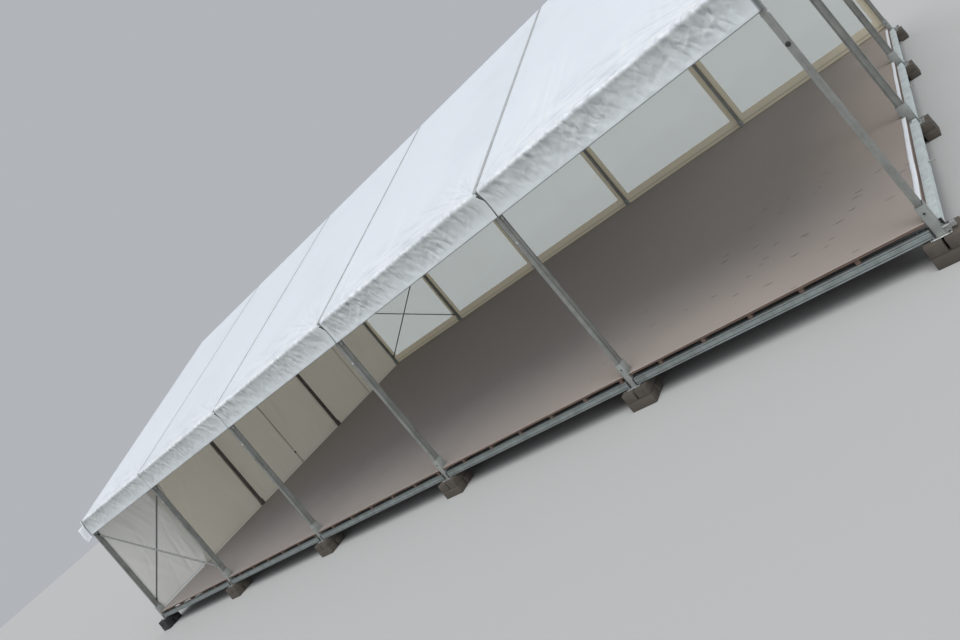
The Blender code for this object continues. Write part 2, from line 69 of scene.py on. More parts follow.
# Plan and levels, read from the solids
FRAME_X = [box_middle(f"frame_{number}", 0) for number in range(1, 7)]
BAYS = list(zip(FRAME_X[:-1], FRAME_X[1:]))
HALF_LENGTH = FRAME_X[-1]
FLOOR_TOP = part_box("carpet")[1].z
CARPET_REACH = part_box("carpet")[1]
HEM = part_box("roof_sheet_1")[0].z
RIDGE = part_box("roof_sheet_1")[1].z
EAVE_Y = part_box("roof_sheet_1")[1].y
RAIL_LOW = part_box("front_base_rail")[0]
RAIL_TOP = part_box("front_base_rail")[1].z
LEG_Y = 4.5
UPRIGHT_Y = 1.5

# Roof plane
VALANCE_DEPTH = 0.334
EAVE = HEM + VALANCE_DEPTH
SLOPE = math.atan2(RIDGE - EAVE, EAVE_Y)
SLOPE_LENGTH = EAVE_Y / math.cos(SLOPE)
COVER = 0.0063

# Frame profile
PROFILE_WIDTH = 0.048
PROFILE_DEPTH = 0.088
LEG_OUTER = LEG_Y + PROFILE_DEPTH / 2
LEG_INNER = LEG_Y - PROFILE_DEPTH / 2

# Feet
PACKING_SIZE = 0.30
PACKING_HEIGHT = 0.20
PLATE_TOP = 0.21
SHOE_WIDTH = 0.068
SHOE_DEPTH = 0.116
SHOE_WALL = 0.006
SHOE_GAP = 0.004
PLATE_HALF = (0.080, 0.100)
SHOE_TOP = FLOOR_TOP + 0.13
PIN_RADIUS = 0.009

# Heights of the bolts in a leg, and how far out the bolts in a rafter are
KNEE_BOLTS = (2.33, 2.47)
LEG_BOLT = 2.05
RAFTER_BOLTS = (0.12, 0.28, LEG_Y - 0.50, LEG_Y - 0.30)

# Lengths that bars have before they are cut off at a joint
LEG_STOCK = 2.7
RAFTER_STOCK = 5.1
TRACK_STOCK = 5.0
UPRIGHT_STOCK = 3.9

# Tie rods of the first bay
WALL_ROD = 0.0145
ROOF_ROD = 0.006
ROOF_TIE_ENDS = (0.35, 4.25)

# How far two sheets of the closed gable reach past the middle between posts
SHEET_LAP = 0.015
LOOSE_LAP = 0.30

# Places across the floor where widths of carpet meet
CARPET_SEAMS = (-2.6, -0.6, 1.4, 3.4)

# Pins along the rail of the open gable
WALL_PINS = (-3.0, -1.5, 0.0, 1.5, 3.0)

QUARTER = math.pi / 2
SIDES = (-1, 1)

# Turns a bar's own +Z to +X, and its own Y stays
ALONG_X = Matrix.Rotation(QUARTER, 4, "Y")

# Turns the long way of a foot or upright from Y to X
SIDEWAYS = Matrix.Rotation(QUARTER, 4, "Z")


def at(x, y, z):
    """Give a move to a place."""
    return Matrix.Translation((x, y, z))


def roof_z(across, depth=0.0):
    """Give the height of the roof's plane, or of one at a depth square under it."""
    return RIDGE - depth / math.cos(SLOPE) - abs(across) * math.tan(SLOPE)


# Selecting and shaping


def clear_selection():
    """Leave edit mode and deselect everything."""
    if bpy.context.object and bpy.context.object.mode != "OBJECT":
        bpy.ops.object.mode_set(mode="OBJECT")
    bpy.ops.object.select_all(action="DESELECT")


def only(*pieces):
    """Select these pieces alone, the first one active."""
    clear_selection()
    for piece in pieces:
        piece.select_set(True)
    bpy.context.view_layer.objects.active = pieces[0]


def pick_faces(piece, test):
    """In edit mode, select the faces whose middle and normal pass a test."""
    bpy.ops.mesh.select_all(action="DESELECT")
    shape = bmesh.from_edit_mesh(piece.data)
    for face in shape.faces:
        face.select = bool(test(face.calc_center_median(), face.normal))
    shape.select_flush(True)
    bmesh.update_edit_mesh(piece.data)


def put(piece, place):
    """Move a piece to its place and keep the place in its mesh."""
    piece.matrix_world = place
    only(piece)
    bpy.ops.object.transform_apply(location=True, rotation=True, scale=True)


def paint(piece, finish):
    """Give a piece one finish."""
    piece.data.materials.clear()
    piece.data.materials.append(finish)


def soften(piece, width, segments=1):
    """Round the sharp edges of a piece."""
    only(piece)
    modifier = piece.modifiers.new("rounding", "BEVEL")
    modifier.width = width
    modifier.segments = segments
    modifier.limit_method = "ANGLE"
    modifier.angle_limit = math.radians(35)
    modifier.harden_normals = False
    bpy.ops.object.modifier_apply(modifier=modifier.name)
    bpy.ops.object.shade_smooth_by_angle(angle=math.radians(30))


def round_all(piece, width, segments=3):
    """Round every edge of a piece."""
    only(piece)
    modifier = piece.modifiers.new("rounding", "BEVEL")
    modifier.width = width
    modifier.segments = segments
    bpy.ops.object.modifier_apply(modifier=modifier.name)


def cut_off(piece, point, normal):
    """Cut a piece by a plane and keep what lies behind it."""
    only(piece)
    bpy.ops.object.mode_set(mode="EDIT")
    bpy.ops.mesh.select_all(action="SELECT")
    bpy.ops.mesh.bisect(plane_co=point, plane_no=normal, use_fill=True, clear_outer=True)
    bpy.ops.object.mode_set(mode="OBJECT")


def join(name, pieces):
    """Make one piece of several."""
    only(*pieces)
    if len(pieces) > 1:
        bpy.ops.object.join()
    made = bpy.context.object
    made.name = name
    made.data.name = name
    return made


def copy_to(source, places):
    """Copy a piece to each place, each copy with its own mesh, and give the copies."""
    made = []
    for place in places:
        copy = source.copy()
        copy.data = source.data.copy()
        bpy.context.scene.collection.objects.link(copy)
        copy.data.transform(place)
        made.append(copy)
    return made


def remove(piece):
    """Take away a piece that was only copied."""
    bpy.data.objects.remove(piece, do_unlink=True)


def rides(piece, slot, *nodes):
    """Set a piece on the marquee, in place of the solids that it stands for."""
    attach(piece, "root")
    if nodes:
        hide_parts(*nodes)
    return piece


# Bars, tubes, blocks and bolts


def bar(columns, rows, empty, length, place, finish, cuts=(), rounding=0.0008):
    """Make a straight bar along its own +Z, whose section is a grid with some cells left out."""
    clear_selection()
    across = len(columns) - 1
    along = len(rows) - 1
    bpy.ops.mesh.primitive_grid_add(x_subdivisions=across, y_subdivisions=along, size=2)
    made = bpy.context.object
    for point in made.data.vertices:
        column = round((point.co.x + 1) / 2 * across)
        row = round((point.co.y + 1) / 2 * along)
        point.co = (columns[column], rows[row], 0)
    bpy.ops.object.mode_set(mode="EDIT")
    if empty:

        def is_empty(middle, _normal):
            return any(a < middle.x < b and c < middle.y < d for a, b, c, d in empty)

        pick_faces(made, is_empty)
        bpy.ops.mesh.delete(type="FACE")
    bpy.ops.mesh.select_all(action="SELECT")
    bpy.ops.mesh.dissolve_limited(angle_limit=0.01)
    bpy.ops.mesh.select_all(action="SELECT")
    bpy.ops.mesh.extrude_region_move(TRANSFORM_OT_translate={"value": (0, 0, length)})
    bpy.ops.mesh.select_all(action="SELECT")
    bpy.ops.mesh.normals_make_consistent(inside=False)
    bpy.ops.object.mode_set(mode="OBJECT")
    put(made, place)
    for point, normal in cuts:
        cut_off(made, point, normal)
    if rounding:
        soften(made, rounding)
    paint(made, finish)
    return made


def block(low, high, finish, rounding=0.002, segments=1):
    """Make a block between two corners, with rounded edges."""
    low = Vector(low)
    high = Vector(high)
    size = high - low
    clear_selection()
    bpy.ops.mesh.primitive_cube_add(size=1)
    made = bpy.context.object
    put(made, Matrix.Translation((low + high) / 2) @ Matrix.Diagonal((*size, 1)))
    if rounding:
        soften(made, rounding, segments)
    paint(made, finish)
    return made


def rod(start, end, radius, finish, sides=16, rounding=0.0):
    """Make a round rod between two points."""
    start = Vector(start)
    end = Vector(end)
    along = end - start
    clear_selection()
    bpy.ops.mesh.primitive_cylinder_add(vertices=sides, radius=radius, depth=along.length)
    made = bpy.context.object
    turn = along.to_track_quat("Z", "Y").to_matrix().to_4x4()
    put(made, Matrix.Translation((start + end) / 2) @ turn)
    if rounding:
        soften(made, rounding)
    else:
        only(made)
        bpy.ops.object.shade_smooth_by_angle(angle=math.radians(40))
    paint(made, finish)
    return made


def bolt(radius, height, finish, washer=None):
    """Make a bolt head on its washer, standing along +Z on the origin."""
    clear_selection()
    bpy.ops.mesh.primitive_cylinder_add(vertices=6, radius=radius, depth=height)
    head = bpy.context.object
    put(head, at(0, 0, height / 2 + radius * 0.2))
    soften(head, radius * 0.12)
    paint(head, finish)
    bpy.ops.mesh.primitive_cylinder_add(vertices=16, radius=radius * 1.6, depth=radius * 0.4)
    disc = bpy.context.object
    put(disc, at(0, 0, radius * 0.2))
    soften(disc, radius * 0.06)
    paint(disc, washer or finish)
    return join("bolt", [head, disc])


def frame_bar(length, place, finish, cuts=()):
    """Make a length of the frame's profile: a sheet groove near each corner and shallow bands."""
    x = PROFILE_WIDTH / 2
    y = PROFILE_DEPTH / 2
    skin = 0.0015
    depth = 0.010
    lip = 0.006
    mouth = lip + 0.014
    slim = 0.004
    band = 0.012
    columns = [-x, -x + skin, -x + depth, -slim, slim, x - depth, x - skin, x]
    rows = [-y, -y + skin, -y + lip, -y + mouth, -band, band, y - mouth, y - lip, y - skin, y]
    empty = []
    for low, high in ((-x, -x + depth), (x - depth, x)):
        empty.append((low, high, -y + lip, -y + mouth))
        empty.append((low, high, y - mouth, y - lip))
    for low, high in ((-x, -x + skin), (x - skin, x)):
        empty.append((low, high, -band, band))
    empty.append((-slim, slim, -y, -y + skin))
    empty.append((-slim, slim, y - skin, y))
    return bar(columns, rows, empty, length, place, finish, cuts)


# Finishes

FINISHES = {}
EFFECTS = {}


def set_input(tree, socket, value):
    """Give an input a link or a value."""
    if isinstance(value, bpy.types.NodeSocket):
        tree.links.new(value, socket)
    else:
        socket.default_value = value


def add_node(tree, kind, **inputs):
    """Add a node to a tree, with the values or links of its inputs."""
    made = tree.nodes.new("ShaderNode" + kind)
    for name, value in inputs.items():
        set_input(tree, made.inputs[name.replace("_", " ")], value)
    return made


def math_node(tree, operation, first, second=0.0):
    """Add a sum to a tree and give its result."""
    made = tree.nodes.new("ShaderNodeMath")
    made.operation = operation
    set_input(tree, made.inputs[0], first)
    set_input(tree, made.inputs[1], second)
    return made.outputs["Value"]


def product(tree, first, second):
    """Multiply two values."""
    return math_node(tree, "MULTIPLY", first, second)


def noise(tree, vector, scale, **inputs):
    """Add noise to a tree and give its value."""
    return add_node(tree, "TexNoise", Vector=vector, Scale=scale, **inputs).outputs["Fac"]


def map_range(tree, value, low, high, start=0.0, end=1.0):
    """Map a range of a value to another one."""
    ends = {"From_Min": low, "From_Max": high, "To_Min": start, "To_Max": end}
    return add_node(tree, "MapRange", Value=value, **ends).outputs["Result"]


def mapped(tree, vector, **inputs):
    """Turn or scale a vector."""
    return add_node(tree, "Mapping", Vector=vector, **inputs).outputs["Vector"]


def shade(colour, share):
    """Give a darker or lighter colour."""
    return tuple(min(1.0, part * share) for part in colour)


class Finish:
    """A material whose nodes are added one after the other."""

    def __init__(self, name, colour, roughness, metallic=0.0):
        self.material = bpy.data.materials.new(name)
        self.material.use_nodes = True
        self.tree = self.material.node_tree
        self.shader = self.tree.nodes["Principled BSDF"]
        self.give(Base_Color=(*colour, 1), Roughness=roughness, Metallic=metallic)
        self.colour = colour
        self.material.diffuse_color = (*colour, 1)

    def give(self, **inputs):
        """Give inputs of the shader a link or a value."""
        for name, value in inputs.items():
            set_input(self.tree, self.shader.inputs[name.replace("_", " ")], value)

    def place(self, kind="Object"):
        """Give the coordinates that a pattern follows."""
        return self.only_node("ShaderNodeTexCoord").outputs[kind]

    def only_node(self, kind):
        """Give the tree's only node of a kind."""
        for node in self.tree.nodes:
            if node.bl_idname == kind:
                return node
        return self.tree.nodes.new(kind)

    def tint(self, mask, other):
        """Mix the colour so far towards another one where a mask is bright."""
        mix = self.tree.nodes.new("ShaderNodeMix")
        mix.data_type = "RGBA"
        before = self.shader.inputs["Base Color"].links
        set_input(self.tree, mix.inputs["Factor"], mask)
        so_far = before[0].from_socket if before else (*self.colour, 1)
        set_input(self.tree, mix.inputs["A"], so_far)
        mix.inputs["B"].default_value = (*other, 1)
        self.give(Base_Color=mix.outputs["Result"])

    def vary_roughness(self, mask, low, high):
        """Let the roughness follow a mask."""
        self.give(Roughness=map_range(self.tree, mask, 0.0, 1.0, low, high))

    def relief(self, height, distance, strength=1.0):
        """Let a height stand out of the surface."""
        bump = add_node(self.tree, "Bump", Strength=strength, Distance=distance, Height=height)
        before = self.shader.inputs["Normal"].links
        if before:
            self.tree.links.new(before[0].from_socket, bump.inputs["Normal"])
        self.give(Normal=bump.outputs["Normal"])

    def let_through(self, share, colour):
        """Let a share of the light pass through the cloth."""
        passing = add_node(self.tree, "BsdfTranslucent", Color=(*colour, 1))
        mix = add_node(self.tree, "MixShader", Fac=share)
        self.tree.links.new(self.shader.outputs["BSDF"], mix.inputs[1])
        self.tree.links.new(passing.outputs["BSDF"], mix.inputs[2])
        output = self.only_node("ShaderNodeOutputMaterial")
        self.tree.links.new(mix.outputs["Shader"], output.inputs["Surface"])

    def values(self, name):
        """Give a named value of the points."""
        made = self.tree.nodes.new("ShaderNodeAttribute")
        made.attribute_name = name
        return made.outputs["Fac"]

    def masked(self, name, value):
        """Give a value where a named value of the points is high."""
        return product(self.tree, self.values(name), value)

    def mark(self, name, colour, share=1.0):
        """Tint the cloth where a named value of its points is high."""
        self.tint(self.masked(name, share), colour)

    def effect(self, name, kind="Object", **inputs):
        """Place a shared effect in the material."""
        made = self.tree.nodes.new("ShaderNodeGroup")
        made.node_tree = EFFECTS[name]
        inputs.setdefault("Vector", self.place(kind))
        for title, value in inputs.items():
            set_input(self.tree, made.inputs[title], value)
        return made.outputs


def new_effect(name, outputs, **numbers):
    """Start a shared effect: give its tree, its inputs and a function that links its outputs."""
    tree = bpy.data.node_groups.new(name, "ShaderNodeTree")
    tree.interface.new_socket("Vector", in_out="INPUT", socket_type="NodeSocketVector")
    for title, value in numbers.items():
        socket = tree.interface.new_socket(title, in_out="INPUT", socket_type="NodeSocketFloat")
        socket.default_value = value
    for title in outputs:
        tree.interface.new_socket(title, in_out="OUTPUT", socket_type="NodeSocketFloat")
    start = tree.nodes.new("NodeGroupInput")
    end = tree.nodes.new("NodeGroupOutput")
    EFFECTS[name] = tree

    def give(**values):
        for title, value in values.items():
            tree.links.new(value, end.inputs[title])

    return tree, start.outputs, give


def soiling_effect():
    """Blotches of dirt and damp at two sizes."""
    tree, given, give = new_effect("soiling", ("Mask", "Fine"), Scale=2.0, Cover=0.5)
    vector = given["Vector"]
    broad = noise(tree, vector, given["Scale"], Detail=6.0, Roughness=0.62)
    fine = noise(tree, vector, product(tree, given["Scale"], 9.0), Detail=4.0)
    low = math_node(tree, "SUBTRACT", 1.0, given["Cover"])
    high = math_node(tree, "ADD", low, 0.25)
    give(Mask=map_range(tree, broad, low, high), Fine=fine)


def weave_effect():
    """The fine threads of coated cloth under its coat."""
    tree, given, give = new_effect("weave", ("Height",), Threads=400.0)
    waves = []
    for direction in ("X", "Y"):
        wave = add_node(tree, "TexWave", Vector=given["Vector"], Scale=given["Threads"])
        wave.bands_direction = direction
        waves.append(wave.outputs["Fac"])
    give(Height=product(tree, *waves))


def drawn_effect():
    """The faint lines and dull spots of drawn metal."""
    tree, given, give = new_effect("drawn_metal", ("Lines", "Spots"))
    lines = noise(tree, given["Vector"], 45.0, Detail=3.0)
    give(Lines=lines, Spots=noise(tree, given["Vector"], 7.0, Detail=8.0, Roughness=0.7))


def grain_effect():
    """Wood grain that runs along the given vector's X."""
    tree, given, give = new_effect("wood_grain", ("Grain", "Fibre"), Scale=8.0)
    along = mapped(tree, given["Vector"], Scale=(0.12, 1.0, 1.0))
    grain = noise(tree, along, given["Scale"], Detail=8.0, Distortion=1.5)
    give(Grain=grain, Fibre=noise(tree, along, product(tree, given["Scale"], 14.0)))


def pile_effect():
    """Short needled pile with scattered crumbs of soil."""
    tree, given, give = new_effect("carpet_pile", ("Pile", "Crumbs", "Leaves", "Tread"))
    vector = given["Vector"]
    crumbs = noise(tree, vector, 26.0, Detail=5.0, Roughness=0.75)
    # Long flecks that lie askew, in some of the cells only
    turned = mapped(tree, vector, Rotation=(0.0, 0.0, 0.12), Scale=(1.0, 3.4, 1.0))
    cells = add_node(tree, "TexVoronoi", Vector=turned, Scale=2.3)
    cells.voronoi_dimensions = "2D"
    colour = add_node(tree, "SeparateColor", Color=cells.outputs["Color"]).outputs
    ragged = product(tree, crumbs, 0.26)
    ragged = math_node(tree, "ADD", ragged, product(tree, colour["Green"], 0.07))
    near = math_node(tree, "ADD", cells.outputs["Distance"], ragged)
    some = math_node(tree, "GREATER_THAN", colour["Red"], 0.70)
    give(
        Pile=noise(tree, vector, 320.0, Detail=2.0),
        Crumbs=map_range(tree, crumbs, 0.66, 0.74),
        Leaves=product(tree, map_range(tree, near, 0.27, 0.22), some),
        Tread=noise(tree, vector, 1.1, Detail=7.0, Roughness=0.6),
    )


def crumple_effect():
    """The small flat facets of cloth that has been folded and handled."""
    tree, given, give = new_effect("crumple", ("Height",), Scale=11.0)
    bend = add_node(tree, "TexNoise", Vector=given["Vector"], Scale=7.0).outputs["Color"]
    moved = tree.nodes.new("ShaderNodeVectorMath")
    tree.links.new(given["Vector"], moved.inputs[0])
    tree.links.new(mapped(tree, bend, Scale=(0.05, 0.05, 0.05)), moved.inputs[1])
    moved = moved.outputs["Vector"]
    tall = mapped(tree, moved, Scale=(1.0, 1.0, 0.55))
    broad = add_node(tree, "TexVoronoi", Vector=tall, Scale=given["Scale"])
    fine = add_node(tree, "TexVoronoi", Vector=tall, Scale=product(tree, given["Scale"], 2.3))
    total = product(tree, broad.outputs["Distance"], 0.42)
    total = math_node(tree, "ADD", total, product(tree, fine.outputs["Distance"], 0.12))
    parts = add_node(tree, "SeparateXYZ", Vector=moved).outputs
    for slant, scale, share in ((-0.75, 5.5, 1.6), (0.55, 9.0, 0.9)):
        leaning = add_node(
            tree,
            "CombineXYZ",
            X=math_node(tree, "ADD", parts["X"], product(tree, parts["Z"], slant)),
            Y=parts["Y"],
            Z=product(tree, parts["Z"], 0.35),
        )
        fold = noise(tree, leaning.outputs["Vector"], scale, Detail=0.5)
        edge = math_node(tree, "ABSOLUTE", math_node(tree, "SUBTRACT", fold, 0.5))
        total = math_node(tree, "ADD", total, product(tree, edge, share))
    # Around zero, so that the facets fade out where a mask does
    give(Height=math_node(tree, "SUBTRACT", total, 0.40))


def tension_effect():
    """Painted highlights and shade: fine light and dark lines that fan out over the slope from
    where a sheet is held at the eave.
    """
    tree, given, give = new_effect("tension", ("Light", "Dark"))
    parts = add_node(tree, "SeparateXYZ", Vector=given["Vector"]).outputs
    # The far half of a sheet repeats the near one
    up = math_node(tree, "PINGPONG", parts["Y"], HALF_SHEET)
    above = math_node(tree, "SUBTRACT", up, EAVE_REACH)
    other = math_node(tree, "SUBTRACT", SHEET_WIDTH, parts["X"])
    spread = []
    for place, turned in ((parts["X"], 0.0), (other, 40.0)):
        angle = math_node(tree, "ARCTAN2", above, place)
        spokes = add_node(
            tree,
            "CombineXYZ",
            X=product(tree, angle, 9.0),
            Y=math_node(tree, "ADD", place, turned),
        )
        lines = noise(tree, spokes.outputs["Vector"], 2.2, Detail=3.0, Roughness=0.6)
        spread.append((lines, map_range(tree, place, 0.0, 3.0, 1.0, 0.0)))
    fade = map_range(tree, above, 0.0, 0.9, 1.0, 0.0)
    shown = product(tree, fade, math_node(tree, "GREATER_THAN", above, 0.0))
    for title, low, high in (("Light", 0.50, 0.60), ("Dark", 0.50, 0.40)):
        total = 0.0
        for lines, near in spread:
            part = product(tree, map_range(tree, lines, low, high), near)
            total = math_node(tree, "ADD", part, total)
        give(**{title: product(tree, total, shown)})


def metal_finish(name, colour, roughness, metallic, dull=None):
    """Drawn or rolled metal with faint lines and duller spots."""
    made = Finish(name, colour, roughness, metallic)
    drawn = made.effect("drawn_metal")
    made.tint(map_range(made.tree, drawn["Spots"], 0.42, 0.70), dull or shade(colour, 0.72))
    made.vary_roughness(drawn["Spots"], roughness - 0.12, roughness + 0.22)
    made.relief(drawn["Lines"], 0.0006, 0.15)
    return made.material


def cover_finish(name, colour, grime, through):
    """Coated cloth: a soft sheen, fine threads under the coat and patches of grime."""
    roughness = 0.42
    made = Finish(name, colour, roughness)
    soil = made.effect("soiling", Scale=1.7, Cover=0.42)
    marks = made.effect("soiling", Scale=0.45, Cover=0.5)
    made.tint(product(made.tree, soil["Mask"], 0.45), grime)
    made.tint(product(made.tree, marks["Mask"], 0.22), shade(grime, 0.8))
    made.vary_roughness(soil["Fine"], roughness - 0.08, roughness + 0.12)
    made.relief(made.effect("weave", "UV", Threads=300.0)["Height"], 0.0003, 0.25)
    made.relief(soil["Fine"], 0.002, 0.25)
    made.let_through(through, colour)
    return made


def wood_finish(name, colour, dark, turn=(0, 0, 0)):
    """Sawn wood or board, with its grain along a direction."""
    made = Finish(name, colour, 0.8)
    turned = mapped(made.tree, made.place(), Rotation=turn)
    grain = made.effect("wood_grain", Vector=turned, Scale=8.0)
    made.tint(grain["Grain"], dark)
    soil = made.effect("soiling", Scale=3.0, Cover=0.45)
    made.tint(product(made.tree, soil["Mask"], 0.5), shade(dark, 0.35))
    made.relief(grain["Fibre"], 0.0015, 0.6)
    made.vary_roughness(grain["Fibre"], 0.7, 0.95)
    return made.material


def carpet_finish(colour):
    """Short taupe pile, specked with soil, with painted light towards the open front and the open
    gable and painted shade further in.
    """
    made = Finish("carpet_pile", colour, 0.95)
    made.give(Sheen_Weight=0.25, Sheen_Roughness=0.6)
    pile = made.effect("carpet_pile")
    made.tint(map_range(made.tree, pile["Tread"], 0.35, 0.70), shade(colour, 0.78))
    share = math_node(made.tree, "ADD", made.masked("litter", 0.8), 0.12)
    made.tint(product(made.tree, pile["Crumbs"], share), (0.060, 0.050, 0.044))
    made.tint(product(made.tree, pile["Pile"], 0.35), shade(colour, 0.6))
    # Painted light: paler near the open front, more so towards the open gable
    made.mark("trodden", shade(colour, 1.45), 0.55)
    # Painted shade: darker near the open front, less so towards the open gable
    made.mark("damp", shade(colour, 0.68), 0.6)
    # Painted shade colour: warmer away from the open front, where the carpet lies in shade
    made.mark("deep", (colour[0], 0.93 * colour[1], 0.83 * colour[2]), 0.9)
    leaves = product(made.tree, pile["Leaves"], made.values("litter"))
    made.tint(leaves, (0.075, 0.055, 0.043))
    # Painted highlight along the carpet's cut edge
    made.mark("edge", (0.46, 0.38, 0.33), 0.9)
    made.relief(pile["Pile"], 0.003, 0.8)
    return made.material


def film_finish(colour):
    """Clear flexible film with faint haze."""
    made = Finish("clear_film", colour, 0.06)
    made.give(Transmission_Weight=0.93, IOR=1.35)
    soil = made.effect("soiling", Scale=1.2, Cover=0.5)
    made.vary_roughness(soil["Mask"], 0.03, 0.16)
    made.relief(soil["Fine"], 0.004, 0.12)
    return made.material


# Metals: the material's name, colour, roughness, how metallic it is
METALS = {
    "track": ("track_metal", (0.52, 0.53, 0.53), 0.5, 0.35),
    # Painted shade: a dark copy of the frame metal for the closed gable's frame, which stands in
    # its own shade
    "upright": ("shaded_metal", (0.17, 0.155, 0.14), 0.6, 0.5),
    "stay": ("grey_steel", (0.27, 0.27, 0.26), 0.5, 0.5),
    "steel": ("galvanised_steel", (0.60, 0.61, 0.60), 0.4, 0.9),
    "brace": ("dull_steel", (0.16, 0.17, 0.17), 0.55, 0.5),
    "dark": ("dark_steel", (0.055, 0.055, 0.055), 0.6, 0.5),
    "rubber": ("black_plastic", (0.02, 0.02, 0.02), 0.6, 0.0),
    "cap": ("cap_plastic", (0.72, 0.75, 0.74), 0.5, 0.1),
}

# Woods: the material's name, colour, colour of the grain, whether the grain runs across
# Timber colours darkened to stand in for the shade under the floor: painted shade
SHADED_PACKING_COLOURS = ((0.115, 0.095, 0.075), (0.05, 0.042, 0.036))
WOODS = {
    "packing": ("packing_timber", *SHADED_PACKING_COLOURS, False),
    "packing_across": ("packing_timber_across", *SHADED_PACKING_COLOURS, True),
    "bearer": ("bearer_timber", (0.22, 0.17, 0.12), (0.12, 0.09, 0.065), False),
    "board": ("floor_board", (0.17, 0.115, 0.090), (0.085, 0.058, 0.046), True),
}

# Sheets: the material's name, colour (none for a setting), grime, share of light let through
COVERS = {
    "roof": ("roof_cover", None, (0.78, 0.82, 0.87), 0.30),
    # Painted light: a lighter copy of the wall cover for the loose sheet
    "wall": ("wall_cover", None, (0.62, 0.58, 0.49), 0.62),
    "fresh_wall": ("fresh_wall_cover", None, (0.74, 0.74, 0.71), 0.62),
    "border": ("border_cover", None, (0.66, 0.60, 0.50), 0.65),
    "strip": ("strip_cover", (0.90, 0.92, 0.95), (0.30, 0.29, 0.27), 0.10),
}

# Marks on the sheets: the named value, its tint and its share
MARKS = {
    "wall": [
        # Painted shade in the hollows of the folds
        ("crease", (0.55, 0.52, 0.45), 0.5),
        ("band", (0.97, 0.96, 0.92), 0.85),
        # Dark lines, which at the foot and the joints of the sheets are painted shade
        ("line", (0.05, 0.04, 0.035), 1.0),
    ],
    "fresh_wall": [
        # Painted shade in the hollows of the folds
        ("crease", (0.60, 0.60, 0.57), 0.7),
        ("band", (1.0, 1.0, 1.0), 0.9),
        ("line", (0.05, 0.045, 0.04), 1.0),
    ],
    # Its dark lines are painted shadow lines along the foot and above the hem
    "border": [("line", (0.06, 0.04, 0.03), 1.0)],
    "strip": [],
}


def make_finishes(context):
    """Make every finish of the marquee once."""
    settings = context.scene.marquee_colours
    colours = {name: tuple(getattr(settings, name)) for name in settings.__annotations__}
    for make in (
        soiling_effect,
        weave_effect,
        drawn_effect,
        grain_effect,
        pile_effect,
        crumple_effect,
        tension_effect,
    ):
        make()
    aluminium, shoe, rail = (colours[name] for name in ("aluminium", "shoe", "rail"))
    FINISHES["aluminium"] = metal_finish("aluminium_profile", aluminium, 0.46, 0.75)
    FINISHES["shoe"] = metal_finish("shoe_metal", shoe, 0.55, 0.45)
    FINISHES["rail"] = metal_finish("rail_metal", rail, 0.5, 0.55, (0.20, 0.22, 0.21))
    # A paler copy of the rail colour for the rail of the open gable
    paler_rail = shade(rail, 2.05)
    FINISHES["pale_rail"] = metal_finish("bleached_metal", paler_rail, 0.6, 0.2, (0.46, 0.49, 0.50))
    for finish, values in METALS.items():
        FINISHES[finish] = metal_finish(*values)
    for finish, (name, colour, grain, across) in WOODS.items():
        turn = (0, 0, QUARTER) if across else (0, 0, 0)
        FINISHES[finish] = wood_finish(name, colour, grain, turn)
    # Painted light: the loose sheet by the open corner gets a lighter copy of the wall colour, as
    # it stands in more light
    colours["fresh_wall"] = tuple(0.35 * part + 0.65 * 0.93 for part in colours["wall"])
    for finish, (name, colour, grime, through) in COVERS.items():
        made = cover_finish(name, colour or colours[finish], grime, through)
        FINISHES[finish] = made.material
        if finish == "roof":
            # Painted shade and highlights along fine lines on the slopes
            tension = made.effect("tension", "UV")
            made.tint(tension["Dark"], (0.66, 0.70, 0.75))
            made.tint(tension["Light"], (1.0, 1.0, 1.0))
            # Painted highlights on the bend over the eave and on the folds of the slope
            made.mark("light", (1.0, 1.0, 1.0), 0.9)
            # Painted shade: the hanging edge is the roof's own white sheet, tinted darker as a face
            # that hangs down would look
            made.mark("hanging", colours["valance"], 0.9)
            # Painted shade in the hollows of the tucks and crumples
            made.mark("crease", (0.34, 0.365, 0.37), 0.60)
            made.mark("band", (0.80, 0.83, 0.82), 0.35)
            # Dark hem edge, and painted shade at the ends of each sheet
            made.mark("line", (0.07, 0.08, 0.08))
            crumple = made.effect("crumple", Scale=11.0)
            made.relief(made.masked("rumple", crumple["Height"]), 0.046)
        else:
            for mark, tint, share in MARKS[finish]:
                made.mark(mark, tint, share)
    FINISHES["film"] = film_finish((0.86, 0.90, 0.88))
    FINISHES["carpet"] = carpet_finish(colours["carpet"])
    return FINISHES


# Cloth


def cloth_noise(u, v, width, length, seed):
    """Give smooth noise from -1 to 1 over a cloth, with marks of a given width and length."""
    table = np.random.default_rng(seed).uniform(-1, 1, (64, 64))
    x = u / width
    y = v / length
    column = np.floor(x).astype(int)
    row = np.floor(y).astype(int)
    x = x - column
    y = y - row
    x = x * x * (3 - 2 * x)
    y = y * y * (3 - 2 * y)

    def corner(right, up):
        return table[(column + right) % 64, (row + up) % 64]

    low = corner(0, 0) * (1 - x) + corner(1, 0) * x
    high = corner(0, 1) * (1 - x) + corner(1, 1) * x
    return low * (1 - y) + high * y


def fold_heights(u, v, folds):
    """Give the height of a set of folds, each from one point to another with a width and height."""
    total = np.zeros_like(u)
    for u_start, v_start, u_end, v_end, width, height in folds:
        along_u = u_end - u_start
        along_v = v_end - v_start
        squared = along_u**2 + along_v**2
        reach = ((u - u_start) * along_u + (v - v_start) * along_v) / squared
        reach = np.clip(reach, 0, 1)
        away = np.hypot(u - u_start - reach * along_u, v - v_start - reach * along_v)
        taper = np.sin(math.pi * np.clip(reach, 0.03, 0.97)) ** 0.6
        total += height * taper * np.exp(-((away / width) ** 2))
    return total


def bell(values, middle, width):
    """Give a bump of height one around a middle."""
    return np.exp(-(((values - middle) / width) ** 2))


def ramp(values, start, end):
    """Give a smooth step from zero at the start to one at the end."""
    share = np.clip((values - start) / (end - start), 0, 1)
    return share * share * (3 - 2 * share)


